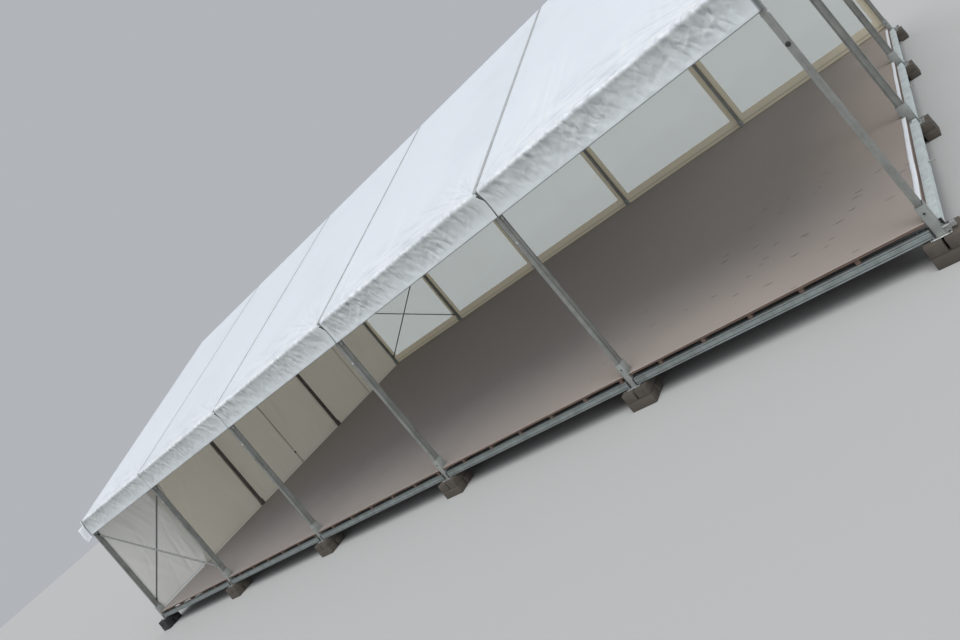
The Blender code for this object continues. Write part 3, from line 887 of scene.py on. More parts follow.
def cloth(name, points, uv, finish, thickness, holes=None, marks=None, second=None):
    """Make a cloth from a grid of points, with its flat place as UV map, and give it a thickness.

    holes is a grid of cells to leave out, marks names values for each point, and second is a
    finish with the grid of cells that has it.
    """
    rows, columns = points.shape[:2]
    index = np.arange(rows * columns).reshape(rows, columns)
    quads = np.stack(
        [index[:-1, :-1], index[:-1, 1:], index[1:, 1:], index[1:, :-1]], axis=-1
    ).reshape(-1, 4)
    keep = np.ones(len(quads), bool) if holes is None else ~holes.reshape(-1)
    quads = quads[keep]
    used, renumbered = np.unique(quads, return_inverse=True)
    quads = renumbered.reshape(-1, 4)
    mesh = bpy.data.meshes.new(name)
    mesh.from_pydata(points.reshape(-1, 3)[used].tolist(), [], quads.tolist())
    layer = mesh.uv_layers.new(name="flat")
    flat = uv.reshape(-1, 2)[used][quads.reshape(-1)]
    layer.data.foreach_set("uv", flat.astype(np.float32).ravel())
    for title, values in (marks or {}).items():
        attribute = mesh.attributes.new(title, "FLOAT", "POINT")
        attribute.data.foreach_set("value", values.reshape(-1)[used].astype(np.float32))
    made = bpy.data.objects.new(name, mesh)
    bpy.context.scene.collection.objects.link(made)
    paint(made, finish)
    if second:
        other, cells = second
        mesh.materials.append(other)
        chosen = cells.reshape(-1)[keep].astype(np.int32)
        mesh.polygons.foreach_set("material_index", chosen)
    only(made)
    bpy.ops.object.shade_smooth()
    modifier = made.modifiers.new("thickness", "SOLIDIFY")
    modifier.thickness = thickness
    modifier.offset = 0
    bpy.ops.object.modifier_apply(modifier=modifier.name)
    return made


# The path of a roof sheet: an arc over the ridge, a straight, an arc over the eave and a drop
RIDGE_ARC = 0.10
EAVE_ARC = 0.050
RIDGE_TANGENT = RIDGE_ARC * math.tan(SLOPE / 2)
EAVE_TURN = QUARTER - SLOPE
EAVE_TANGENT = EAVE_ARC * math.tan(EAVE_TURN / 2)
ARC_ONE = RIDGE_ARC * SLOPE
STRAIGHT = SLOPE_LENGTH - RIDGE_TANGENT - EAVE_TANGENT
ARC_TWO = EAVE_ARC * EAVE_TURN
DROP = VALANCE_DEPTH - EAVE_TANGENT
HALF_SHEET = ARC_ONE + STRAIGHT + ARC_TWO + DROP
SHEET_EDGE = 0.0290
SHEET_WIDTH = BAYS[0][1] - BAYS[0][0] - 2 * SHEET_EDGE
EAVE_REACH = DROP + ARC_TWO / 2


def sheet_line(reach):
    """Give places and outward directions on half a roof sheet, at distances from the ridge."""
    turn = np.clip(reach / RIDGE_ARC, 0, SLOPE)
    eave = np.clip((reach - ARC_ONE - STRAIGHT) / EAVE_ARC, 0, EAVE_TURN)
    angle = turn + eave
    straight = np.clip(reach - ARC_ONE, 0, STRAIGHT)
    down = np.clip(reach - ARC_ONE - STRAIGHT - ARC_TWO, 0, None)
    across = RIDGE_ARC * np.sin(turn) + straight * math.cos(SLOPE)
    across += EAVE_ARC * (np.sin(SLOPE + eave) - math.sin(SLOPE))
    up = -RIDGE_ARC * (1 - np.cos(turn)) - straight * math.sin(SLOPE)
    up -= EAVE_ARC * (math.cos(SLOPE) - np.cos(SLOPE + eave))
    # The arc over the ridge lies under the peak of the roof plane
    top = RIDGE - (RIDGE_ARC / math.cos(SLOPE) - RIDGE_ARC)
    return across, top + up - down, np.sin(angle), np.cos(angle)


def ridged(u, v, width, length, seed):
    """Give sharp creases between soft hollows, from -1 to 1."""
    return 1 - 2 * np.abs(cloth_noise(u, v, width, length, seed))


def eave_tucks(along, up, width, seed):
    """Give the depth of the tucks that start at the eave, each steep on one side."""
    draw = np.random.default_rng(seed)
    total = np.zeros_like(along)
    place = 0.12
    while place < width - 0.20:
        top = EAVE_REACH + draw.uniform(0.0, 0.10)
        bottom = EAVE_REACH - draw.uniform(0.08, 0.28)
        lean = draw.normal(-0.09, 0.07)
        half = draw.uniform(0.010, 0.030)
        depth = draw.uniform(0.005, 0.015)
        share = np.clip((top - up) / (top - bottom), 0, 1)
        opening = np.sin(math.pi * share**0.6)
        away = (along - place - lean * share) / (half * (0.3 + opening))
        if draw.random() < 0.5:
            away = -away
        away = np.where(away < 0, -0.6 * away, 1.8 * away)
        total += depth * opening * np.clip(1 - away, 0, 1)
        place += draw.choice((0.04, 0.06, 0.11, 0.24)) * draw.uniform(0.7, 1.4)
    return total


def soft_folds(width, seed, count):
    """Give a few long soft folds of a hanging edge, in metres along it and up from its hem."""
    draw = np.random.default_rng(seed)
    folds = []
    for _ in range(count):
        start = draw.uniform(0.10, width - 0.25)
        reach = draw.uniform(0.10, 0.45) * draw.choice([-1, 1])
        end = min(max(start + reach, 0.06), width - 0.12)
        low, high = draw.uniform(0.03, 0.14), draw.uniform(0.16, 0.33)
        height = draw.choice([-1, 1]) * draw.uniform(0.002, 0.005)
        folds.append((start, high, end, low, draw.uniform(0.014, 0.035), height))
    return folds


# Sharp creases in the hanging edges of the last two bays on the open side: along, up, along, up
CREASES = {
    4: [(2.79, 0.33, 2.53, 0.07, 0.012, -0.010), (2.83, 0.33, 2.57, 0.07, 0.016, 0.008)],
    5: [
        (1.26, 0.26, 1.37, 0.02, 0.011, 0.009),
        (1.61, 0.33, 1.38, 0.02, 0.011, -0.010),
        (2.67, 0.34, 2.56, 0.20, 0.014, -0.011),
        (2.56, 0.21, 2.47, 0.02, 0.014, -0.010),
        (2.63, 0.20, 2.53, 0.02, 0.018, 0.007),
        (2.06, 0.33, 1.84, 0.16, 0.016, 0.006),
    ],
}


def slope_folds(width, seed):
    """Give the long shallow folds of the slope near an eave."""
    draw = np.random.default_rng(seed)
    folds = []
    for _ in range(14):
        start = draw.uniform(0.05, width - 0.05)
        length = draw.uniform(0.5, 1.8)
        lean = draw.normal(0, 0.25)
        low = EAVE_REACH + draw.uniform(0.0, 0.25)
        height = draw.uniform(0.0010, 0.0028) * draw.choice([-1, 1])
        folds.append((start, low, start + lean, low + length, draw.uniform(0.02, 0.05), height))
    for side, sign in ((0.03, 1), (width - 0.03, -1)):
        for step in range(5):
            out = sign * (0.20 + 0.16 * step)
            end = (side + out, EAVE_REACH + 0.06 + 0.03 * step)
            folds.append((side, EAVE_REACH + 0.55, *end, 0.018, 0.0016 * (-1) ** step))
    return folds


def sheet_relief(along, up, width, seed, settings, creases=()):
    """Give how far a half sheet stands off its plane, with the marks that its folds leave.

    along and up are a point's place along the eave and up from the hem.
    """
    free = ramp(along, 0.010, 0.06) * ramp(width - along, 0.10, 0.16)
    below = np.clip(1 - up / EAVE_REACH, 0, 1)
    hanging = 1 - ramp(up, EAVE_REACH - 0.01, EAVE_REACH + 0.01)
    gather = settings.fold_depth * free
    tucks = eave_tucks(along, up, width, seed)
    near = np.where(
        up > EAVE_REACH,
        np.exp(-(((up - EAVE_REACH) / 0.06) ** 2)),
        0.5 * ramp(up, 0.0, 0.05) + 0.5 * ramp(up, 0.04, 0.15),
    )
    bent = along + 0.03 * cloth_noise(along, up, 0.17, 0.13, seed + 1)
    # Clusters of creases in two slanting directions, between smoother stretches
    cluster = 0.72 + 0.65 * cloth_noise(along, up, 0.42, 0.9, seed + 11)
    other = np.clip(1.1 - cluster, 0.15, 1)
    cluster = np.clip(cluster, 0.20, 1.3)
    crumple = 0.0105 * cluster * ridged(bent - 0.75 * up, up, 0.085, 0.30, seed + 2)
    crumple += 0.0040 * cluster * ridged(bent + 0.40 * up, up, 0.055, 0.14, seed + 3)
    crumple += 0.0085 * other * ridged(bent + 1.00 * up, up, 0.16, 0.30, seed + 12)
    crumple += 0.0060 * cloth_noise(along, up, 0.24, 0.40, seed + 4)
    total = gather * (near * crumple - tucks * ramp(up, 0.03, 0.12))
    # Angular bumps along the bend over the eave
    jagged = ridged(bent, up, 0.13, 1.0, seed + 13) + 0.3 * ridged(bent, up, 0.06, 1.0, seed + 14)
    total += 0.0085 * gather * jagged * bell(up, EAVE_REACH - 0.01, 0.05)
    # Between the frames the edge draws in under the eave and leans out again to its hem
    hold = ramp(along, 0, 0.07) * ramp(width - along, 0.07, 0.16)
    drawn = 4 * below * (1 - below) * (1 + 0.25 * cloth_noise(along, up, 0.30, 0.5, seed + 5))
    total -= settings.tuck * drawn * hanging * (0.25 + 0.75 * hold) * ramp(along, 0, 0.03)
    total += gather * ramp(up, 0.0, 0.05) * fold_heights(
        along, up, soft_folds(width, seed + 6, 12) + list(creases)
    ) * (1 - ramp(up, EAVE_REACH, EAVE_REACH + 0.05))
    total += 0.003 * gather * (1 - ramp(up, 0.0, 0.15)) * cloth_noise(along, up, 0.5, 1.0, seed + 7)
    # The slope: long shallow folds, and a sag between the purlins that hold the sheet up
    slope = ramp(up, EAVE_REACH + 0.02, EAVE_REACH + 0.12)
    slope_relief = fold_heights(along, up, slope_folds(width, seed + 8))
    total += slope * free * slope_relief
    middle = np.sin(math.pi * np.clip(along / width, 0, 1))
    reach = np.clip((up - EAVE_REACH) / (HALF_SHEET - EAVE_REACH), 0, 1)
    total -= settings.sag * slope * middle * np.sin(2 * math.pi * reach) ** 2
    total += 0.0012 * slope * free * cloth_noise(along, up, 0.10, 2.5, seed + 9)
    # The hem is turned up and sewn
    total += 0.0016 * (1 - ramp(up, 0.034, 0.040))
    band = hanging * (1 - ramp(width - along, 0.095, 0.108))
    # Painted shade in the hollows of the tucks and of the crumples near the eave
    crease = hanging * free * np.clip(tucks / 0.012 - 0.25, 0, 1)
    crease += hanging * free * 0.45 * np.clip(-crumple / 0.014, 0, 1) * near
    # Painted highlights: the bend over the eave, the tight folds beside it and the folds of the
    # slope are painted lighter, where they would catch the light
    above = np.clip(up - EAVE_REACH, 0, None)
    highlight_streak = np.clip(ridged(bent + 0.9 * above, above, 0.07, 0.5, seed + 10), 0, 1)
    light = bell(up, EAVE_REACH + 0.035, 0.035) * (0.55 + 0.45 * highlight_streak)
    light += 0.6 * highlight_streak * np.exp(-above / 0.30) * slope
    light += 0.5 * slope * np.clip(slope_relief / 0.002, 0, 1)
    rumple = np.maximum(near, 0.55 * hanging * ramp(up, 0.0, 0.14)) * np.clip(cluster, 0.5, 1)
    return total, {
        "band": band,
        "crease": np.clip(crease, 0, 1),
        "light": np.clip(light, 0, 1),
        "rumple": free * rumple,
    }


def sheet_stations():
    """Give the distances up from the hem where a half sheet has points."""
    fine = np.arange(0, 0.42, 0.011)
    middle = np.arange(0.42, 0.80, 0.035)
    broad = np.linspace(0.80, HALF_SHEET - 0.06, 9)
    return np.concatenate([fine, middle, broad, [HALF_SHEET - 0.03, HALF_SHEET]])


def near_end(along, width, number):
    """Give the dark bound ends of a hanging edge, painted shade of the gap beside each frame,
    broader at the two ends of the marquee.
    """
    first = 0.030 if number == 1 else 0.013
    ends = 1 - ramp(along, first - 0.008, first)
    if number == len(BAYS):
        ends = np.maximum(ends, 1 - ramp(width - along, 0.022, 0.030))
    return ends


def roof_sheet(number, left, right, settings):
    """One sheet of the roof, from the hem of one hanging edge over the ridge to the other."""
    edge = SHEET_EDGE
    columns = np.linspace(0, 1, 240)
    width = SHEET_WIDTH
    up, share = np.meshgrid(sheet_stations(), columns, indexing="ij")
    along = share * width
    halves = []
    for side, seed in ((-1, 10 * number), (1, 10 * number + 500)):
        creases = CREASES.get(number, ()) if side < 0 else ()
        stands, marks = sheet_relief(along, up, width, seed, settings, creases)
        across, height, out, above = sheet_line(HALF_SHEET - up)
        # Below the eave the sheets reach over the track, up to a narrow joint
        low = 1 - ramp(up, EAVE_REACH - 0.14, EAVE_REACH - 0.01)
        start = left + edge - low * (edge - (0.048 if number > 1 else -0.024))
        stop = right - edge + low * (edge + (0.036 if number < len(BAYS) else 0.024))
        x = start + share * (stop - start)
        grid = np.stack([x, side * (across + stands * out), height + stands * above], axis=-1)
        end_shade = near_end(along, width, number)
        end_shade *= 0.9 * (1 - ramp(up, EAVE_REACH, EAVE_REACH + 0.03))
        half = {
            "points": grid,
            "flat": np.stack([along, up if side < 0 else 2 * HALF_SHEET - up], axis=-1),
            # Painted shade of the hanging edge, strongest in its upper part where it draws in under
            # the eave
            "hanging": (1 - ramp(up, EAVE_REACH - 0.03, EAVE_REACH + 0.006))
            * (0.66 + 0.34 * ramp(up, 0.05, 0.20)),
            # Dark along the lowest centimetre of the hem; at the ends, painted shade of the gap
            # beside each frame
            "line": np.maximum(1 - ramp(up, 0.005, 0.010), end_shade),
            **marks,
        }
        halves.append(half)
    # The far half runs down again from the ridge, which both halves share
    whole = {
        title: np.concatenate([values, halves[1][title][::-1][1:]])
        for title, values in halves[0].items()
    }
    points = whole.pop("points")
    flat = whole.pop("flat")
    made = cloth(f"roof_cover_{number}", points, flat, FINISHES["roof"], 0.002, marks=whole)
    rides(made, "roof_fabric", f"roof_sheet_{number}")
    return made


def gable_panel(name, start, stop, seed, loose, shift):
    """One hanging sheet of the left gable, about a metre and a half wide."""
    low = RAIL_TOP + 0.012
    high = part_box("left_wall_front")[1].z - 0.004
    height = high - low
    width = stop - start
    ups = np.concatenate([np.arange(0, 0.16, 0.008), np.linspace(0.16, height, 50)])
    up, along = np.meshgrid(ups, np.linspace(0, width, 90 if loose else 56), indexing="ij")
    hold = ramp(along, 0, 0.10) * ramp(width - along, 0, 0.10)
    from_top = height - up
    hang = ramp(from_top, 0.0, 0.35)
    stands = 0.010 * cloth_noise(along, up, 0.42, 1.6, seed) * hold * hang
    stands += 0.004 * cloth_noise(along, up, 0.16, 0.9, seed + 1) * hold * hang
    draw = np.random.default_rng(seed)
    folds = []
    for number in range(9):
        u_start = draw.uniform(0.10, width - 0.10)
        v_start = draw.uniform(0.7, height - 0.2)
        lean = draw.normal(0, 0.30)
        fall = draw.uniform(0.5, 1.2)
        depth = draw.uniform(0.004, 0.009) * (-1) ** number
        folds.append((u_start, v_start, u_start + lean, v_start - fall, 0.035, depth))
    stands += fold_heights(along, up, folds) * hold
    # Two sewn lines across the hem
    for line in (0.035, 0.075):
        stands -= 0.0025 * bell(up, line, 0.007)
    stands += 0.003 * (1 - ramp(up, 0.070, 0.078))
    z = low + up
    y = start + along
    if loose:
        # The sheet by the open corner is held at its top and its post, and its free edge swings in
        free = ramp(along, 0.30 * width, width) * ramp(from_top, 0.05, 1.3)
        swing = [
            (0.28, height - 0.02, 0.55, height - 0.75, 0.035, 0.022),
            (0.42, height - 0.02, 0.62, height - 0.62, 0.030, -0.020),
            (0.58, height - 0.02, 0.85, height - 0.80, 0.040, 0.024),
            (0.74, height - 0.02, 0.98, height - 0.55, 0.028, -0.018),
            (0.92, height - 0.02, 1.20, height - 0.90, 0.040, 0.020),
            (1.25, height - 0.30, 1.05, height - 1.20, 0.050, -0.018),
            (0.10, 1.30, 0.55, 0.45, 0.060, 0.012),
            (1.05, 1.10, 0.95, 0.15, 0.050, -0.022),
            (1.25, 1.00, 1.20, 0.10, 0.050, 0.024),
        ]
        stands += fold_heights(along, up, swing) * ramp(along, 0, 0.05)
        stands += 0.10 * free
        lifted = ramp(along, 0.72 * width, width) * (1 - ramp(up, 0.0, 0.45))
        stands += 0.10 * lifted
        z = z + 0.10 * lifted
        y = y - 0.20 * free - 0.14 * lifted
    x = -HALF_LENGTH - 0.025 + stands + shift
    sides = np.minimum(along, width - along)
    joint = 0.85 if abs(start + width / 2) < UPRIGHT_Y else 0.25
    # Dark along the foot and at the sides where the sheets meet: painted shade; two thin dark lines
    # also cross the hem
    line = np.maximum(1 - ramp(up, 0.008, 0.016), 0.6 * bell(up, 0.046, 0.007))
    line = np.maximum(line, 0.5 * bell(up, 0.092, 0.008))
    marks = {
        "line": np.maximum(line, joint * (1 - ramp(sides, 0.012, 0.032))),
        "band": 1 - ramp(up, 0.084, 0.094),
        # Painted shade in the hollows of the folds, weaker on the loose sheet
        "crease": np.clip(-stands / 0.02, 0, 1) * hold * (0.4 if loose else 1),
    }
    points = np.stack([x, y, z], axis=-1)
    # The loose sheet takes the lighter wall cover: painted light
    finish = FINISHES["fresh_wall" if loose else "wall"]
    made = cloth(name, points, np.stack([along, up], axis=-1), finish, 0.002, marks=marks)
    return made


def triangle_cover(name, end, node):
    """The cover of one gable above the cross beam."""
    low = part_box(node)[0].z
    across = np.linspace(-LEG_OUTER + 0.002, LEG_OUTER - 0.002, 120)
    shares = np.linspace(0, 1, 24)
    share, y = np.meshgrid(shares, across, indexing="ij")
    top = RIDGE - (COVER + 0.002) / math.cos(SLOPE) - np.abs(y) * math.tan(SLOPE)
    z = low + share * (top - low)
    up = z - low
    hold = ramp(up, 0, 0.12) * ramp(top - z, 0.0, 0.15)
    stands = 0.008 * cloth_noise(y + 10, up, 0.6, 0.8, 71 + end) * hold
    stands += 0.003 * cloth_noise(y + 10, up, 0.15, 0.4, 73 + end) * hold
    stands += 0.0016 * (1 - ramp(up, 0.034, 0.040))
    x = end * (box_low_x(node) + 0.003 + stands)
    made = cloth(
        name,
        np.stack([x, y, z], axis=-1),
        np.stack([y, up], axis=-1),
        FINISHES["wall"],
        0.002,
        marks={"line": 1 - ramp(up, 0.004, 0.010)},
    )
    rides(made, "wall_fabric", node)
    return made


def box_low_x(node):
    """Give how far out along X a gable solid starts."""
    low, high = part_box(node)
    return min(abs(low.x), abs(high.x))


def stations_with(low, high, count, *marks):
    """Give even stations between two ends that also pass through some marks."""
    places = np.linspace(low, high, count)
    return np.unique(np.concatenate([places, np.array(marks)]))


def window_wall(number):
    """One sheet of the back wall: a border welded round a clear window."""
    wall_low, wall_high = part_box(f"back_wall_{number}")
    light_low, light_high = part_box(f"back_window_{number}")
    foot = SHOE_WIDTH / 2 + SHOE_GAP - PROFILE_WIDTH / 2
    edges = [wall_low.x + foot, light_low.x, light_high.x, wall_high.x - foot]
    edges += [wall_low.x + 0.020, wall_high.x - 0.020]
    xs = stations_with(wall_low.x, wall_high.x, 70, *edges)
    sewn = [wall_low.z + step for step in (0.012, 0.020, 0.060, 0.068, 0.075, 0.082, 0.090)]
    sewn += [light_low.z, light_high.z, SHOE_TOP + SHOE_GAP]
    zs = stations_with(wall_low.z, wall_high.z, 54, *sewn)
    up, along = np.meshgrid(zs, xs, indexing="ij")
    hold = ramp(along, wall_low.x, wall_low.x + 0.15)
    hold = hold * ramp(-along, -wall_high.x, 0.15 - wall_high.x)
    drop = wall_high.z - up
    stands = 0.007 * cloth_noise(along + 20, up, 0.5, 1.1, 90 + number) * hold
    stands += 0.0025 * cloth_noise(along + 20, up, 0.17, 0.5, 95 + number) * hold
    stands *= ramp(drop, 0, 0.3)
    # The weld stands out a little all round the window
    for place, values in (
        (light_low.x, along),
        (light_high.x, along),
        (light_low.z, up),
        (light_high.z, up),
    ):
        stands -= 0.0015 * bell(values, place, 0.012)
    sides = np.minimum(along - wall_low.x, wall_high.x - along)
    foot_up = up - wall_low.z
    # Painted shadow lines along the foot, where the sheet meets the floor, and above the hem; the
    # sides are dark too
    line = np.maximum(1 - ramp(foot_up, 0.012, 0.020), bell(foot_up, 0.075, 0.010))
    line = np.maximum(line, 1 - ramp(sides, 0.012, 0.020))
    y = (wall_low.y + wall_high.y) / 2 + stands
    middle_x = (xs[:-1] + xs[1:]) / 2
    middle_z = (zs[:-1] + zs[1:]) / 2
    inside = np.outer(
        (middle_z > light_low.z) & (middle_z < light_high.z),
        (middle_x > light_low.x) & (middle_x < light_high.x),
    )
    notch = np.outer(
        middle_z < SHOE_TOP + SHOE_GAP,
        (middle_x < wall_low.x + foot) | (middle_x > wall_high.x - foot),
    )
    made = cloth(
        f"window_wall_{number}",
        np.stack([along, y, up], axis=-1),
        np.stack([along, up], axis=-1),
        FINISHES["border"],
        0.0016,
        holes=notch,
        marks={"line": line},
        second=(FINISHES["film"], inside),
    )
    rides(made, "border_fabric", f"back_wall_{number}", f"back_window_{number}")
    return made


def near_any(values, places, half):
    """Tell which values lie near any of some places."""
    found = np.zeros(len(values), bool)
    for place in places:
        found |= np.abs(values - place) < half
    return found


def carpet_cover():
    """The carpet over the floor, cut out around the feet."""
    reach = CARPET_REACH
    half_x = SHOE_WIDTH / 2 + 0.004
    half_y = SHOE_DEPTH / 2 + 0.004
    x_marks = [place + side * half_x for place in FRAME_X for side in (-1, 1)]
    x_marks += [end * (HALF_LENGTH - half_y) for end in (-1, 1)]
    y_marks = [side * (LEG_Y + half_y * sign) for side in (-1, 1) for sign in (-1,)]
    y_marks += [side * (UPRIGHT_Y + sign * half_x) for side in (-1, 1) for sign in (-1, 1)]
    xs = stations_with(-reach.x, reach.x, 120, *[m for m in x_marks if abs(m) < reach.x])
    y_marks += [side * (reach.y - step) for side in (-1, 1) for step in (0.006, 0.012)]
    ys = stations_with(-reach.y, reach.y, 76, *[m for m in y_marks if abs(m) < reach.y])
    middle_x = (xs[:-1] + xs[1:]) / 2
    middle_y = (ys[:-1] + ys[1:]) / 2
    sides = np.outer(np.abs(middle_y) > LEG_Y - half_y, near_any(middle_x, FRAME_X, half_x))
    ends = np.outer(
        near_any(np.abs(middle_y), [UPRIGHT_Y], half_x),
        np.abs(middle_x) > HALF_LENGTH - half_y,
    )
    y, x = np.meshgrid(ys, xs, indexing="ij")
    z = np.full_like(x, FLOOR_TOP - 0.0018)
    z += 0.0010 * cloth_noise(x + 20, y + 20, 0.7, 0.9, 31)
    z += 0.0005 * cloth_noise(x + 20, y + 20, 0.12, 0.15, 32)
    # Widths of carpet laid side by side
    for seam in CARPET_SEAMS:
        z -= 0.0012 * bell(y, seam, 0.02)
    made = cloth(
        "carpet_cover",
        np.stack([x, y, z], axis=-1),
        np.stack([x, y], axis=-1),
        FINISHES["carpet"],
        0.003,
        marks={
            "litter": bell(x, 6.0, 2.4) * bell(y, -3.3, 2.2),
            # Painted light near the open front, more so towards the open gable
            "trodden": bell(y, -CARPET_REACH.y, 3.0) * ramp(x, -1.0, 6.0),
            # Painted shade: darker near the open front, less so towards the open gable
            "damp": bell(y, -CARPET_REACH.y, 2.2) * (1 - 0.7 * ramp(x, 2.0, 6.0)),
            # Painted shade colour: warmer away from the open front, where the carpet lies in shade
            "deep": ramp(y, -3.6, -1.2),
            # Painted highlight along the carpet's cut edge
            "edge": 1 - ramp(CARPET_REACH.y - np.abs(y), 0.004, 0.010),
        },
        holes=sides | ends,
    )
    rides(made, "carpet", "carpet")
    return made


# Frames and feet


def rafter_place(x, side, depth):
    """Put a bar along one slope of a frame, from the ridge down, at a depth under the roof."""
    down = Vector((0, side * math.cos(SLOPE), -math.sin(SLOPE)))
    above = Vector((0, side * math.sin(SLOPE), math.cos(SLOPE)))
    turn = Matrix((above.cross(down), above, down)).transposed().to_4x4()
    return at(x, 0, roof_z(0, depth)) @ turn


def knee_plane(side):
    """Give a point and a direction up the leg of the plane where a leg meets its rafter."""
    inner = Vector((0, side * LEG_INNER, roof_z(LEG_INNER, COVER + PROFILE_DEPTH)))
    outer = Vector((0, side * LEG_OUTER, roof_z(LEG_OUTER, COVER)))
    along = outer - inner
    up = Vector((0, -along.z, along.y)) * side
    return inner, up.normalized()


def portal(x, finish):
    """The legs and rafters of one frame, mitred at the knees and the peak."""
    pieces = []
    for side in SIDES:
        point, up = knee_plane(side)
        leg_place = at(x, side * LEG_Y, PLATE_TOP + 0.004)
        pieces.append(frame_bar(LEG_STOCK, leg_place, finish, [(point - up * 0.0008, up)]))
        depth = COVER + PROFILE_DEPTH / 2
        cuts = [(point + up * 0.0008, -up), ((0, side * 0.0005, 0), (0, -side, 0))]
        start = rafter_place(x, side, depth) @ at(0, 0, -0.1)
        pieces.append(frame_bar(RAFTER_STOCK, start, finish, cuts))
    return pieces


def track(x, finish):
    """The rail on a frame that grips the sheets, with its end turned down over the eave."""
    edge, groove_out, groove_in = 0.0280, 0.0250, 0.0215
    under, groove_low, top = -0.0055, 0.003, 0.0090
    columns = [-edge, -groove_out, -groove_in, groove_in, groove_out, edge]
    rows = [under, groove_low, top]
    empty = [(-groove_out, -groove_in, groove_low, top), (groove_in, groove_out, groove_low, top)]
    pieces = []
    for side in SIDES:
        start = rafter_place(x, side, -under) @ at(0, 0, -0.05)
        ends = [((0, 0, 0), (0, -side, 0)), ((0, side * (EAVE_Y + 0.004), 0), (0, side, 0))]
        pieces.append(bar(columns, rows, empty, TRACK_STOCK, start, finish, ends, 0.0004))
    return pieces


def knee_cap(x, side, finish, dark):
    """A rounded cap over the eave where a track ends, beside the joint of the hanging edges."""
    start, stop = x - 0.102, x - 0.008
    thickness = 0.006
    out = side * (EAVE_Y + 0.001)
    inner, outer = sorted((out, out + side * thickness))
    cap = block((start, inner, EAVE - 0.120), (stop, outer, EAVE - 0.030), finish, 0.0)
    round_all(cap, 0.006)
    bpy.ops.object.shade_smooth_by_angle(angle=math.radians(35))
    radius = 0.034
    y = side * (EAVE_Y + thickness - radius)
    z = roof_z(EAVE_Y) - 0.004 - radius * 0.62
    roll = rod((start, y, z), (stop, y, z), radius, finish, 32, 0.006)
    pieces = [cap, roll]
    for place, height in ((x - 0.012, 0.052), (x + 0.024, 0.044), (x - 0.055, 0.100)):
        start = (place, side * (EAVE_Y - 0.004), EAVE - height)
        end = (place, side * (EAVE_Y + 0.009), EAVE - height)
        pieces.append(rod(start, end, 0.006, dark, 12))
    return pieces


def peak_piece(x, finish):
    """The wedge under the peak that ties the rafters."""
    reach = 0.30
    low = roof_z(0.26, COVER + PROFILE_DEPTH) - 0.002
    top = roof_z(0, COVER + PROFILE_DEPTH) + 0.05
    made = block((x - 0.018, -reach, low), (x + 0.018, reach, top), finish, 0.0)
    for side in SIDES:
        under = (0, 0, roof_z(0, COVER + PROFILE_DEPTH) - 0.0005)
        cut_off(made, under, (0, side * math.sin(SLOPE), math.cos(SLOPE)))
    soften(made, 0.002)
    paint(made, finish)
    return made


def shoe(finish, plate_finish, pin_finish):
    """A square shoe on its plate, open at the top, with a pin through it, at the origin."""
    half_x = SHOE_WIDTH / 2
    half_y = SHOE_DEPTH / 2
    low = (-half_x, -half_y, PLATE_TOP - 0.001)
    body = block(low, (half_x, half_y, SHOE_TOP), finish, 0.0)
    only(body)
    bpy.ops.object.mode_set(mode="EDIT")
    pick_faces(body, lambda middle, normal: normal.z > 0.9)
    bpy.ops.mesh.inset(thickness=SHOE_WALL)
    depth = SHOE_TOP - PLATE_TOP - 0.01
    bpy.ops.mesh.extrude_region_move(TRANSFORM_OT_translate={"value": (0, 0, -depth)})
    bpy.ops.object.mode_set(mode="OBJECT")
    soften(body, 0.002, 2)
    pieces = [body]
    plate_x, plate_y = PLATE_HALF
    base_low = (-plate_x, -plate_y, PACKING_HEIGHT + 0.0005)
    base = block(base_low, (plate_x, plate_y, PLATE_TOP), plate_finish)
    pieces.append(base)
    pin_height = FLOOR_TOP + 0.065
    reach = half_y + 0.004
    pin_start = (0, -reach, pin_height)
    pieces.append(rod(pin_start, (0, reach, pin_height), PIN_RADIUS, pin_finish, 20, 0.001))
    collar = half_y + 0.0015
    for side in SIDES:
        start = (0, side * (half_y - 0.002), pin_height)
        pieces.append(rod(start, (0, side * collar, pin_height), 0.014, finish, 20, 0.0008))
    # Welded fins from the plate to the shoe
    fin_reach = half_x + 0.034
    fin_half = 0.003
    for side in SIDES:
        for place in (-0.030, 0.030):
            x_low, x_high = sorted((side * half_x, side * fin_reach))
            fin_low = (x_low, place - fin_half, PLATE_TOP - 0.0005)
            fin = block(fin_low, (x_high, place + fin_half, 0.25), finish, 0)
            outer = (side * fin_reach, 0, PLATE_TOP + 0.006)
            cut_off(fin, outer, (side * 0.75, 0, 0.66))
            pieces.append(fin)
    head = bolt(0.010, 0.008, pin_finish, plate_finish)
    inset = 0.014
    x_spots = (-plate_x + inset, plate_x - inset)
    y_spots = (-plate_y + inset, plate_y - inset)
    pieces += copy_to(head, [at(x, y, PLATE_TOP) for x in x_spots for y in y_spots])
    remove(head)
    return join("shoe", pieces)


def packing_stack(finish, across_finish):
    """Two pairs of crossed timbers that lift a foot off the ground, at the origin."""
    half = PACKING_SIZE / 2
    middle = PACKING_HEIGHT / 2
    pieces = []
    for side in SIDES:
        y_low, y_high = sorted((side * 0.012, side * half))
        pieces.append(block((-half, y_low, 0), (half, y_high, middle - 0.0005), finish, 0.004, 2))
    for side in SIDES:
        x_low, x_high = sorted((side * 0.010, side * (half - 0.004)))
        low = (x_low, -half + 0.003, middle + 0.0005)
        pieces.append(block(low, (x_high, half - 0.003, PACKING_HEIGHT), across_finish, 0.004, 2))
    return join("packing_stack", pieces)


def foot_places():
    """Give the place and turn of each foot, with the solid that it stands for."""
    feet = []
    for number, x in enumerate(FRAME_X, 1):
        for side in SIDES:
            feet.append((f"frame_{number}", at(x, side * LEG_Y, 0)))
    for node, end in (("left_gable_frame", -1), ("right_gable_frame", 1)):
        for side in SIDES:
            place = at(end * HALF_LENGTH, side * UPRIGHT_Y, 0)
            feet.append((node, place @ SIDEWAYS))
    return feet


# Operators


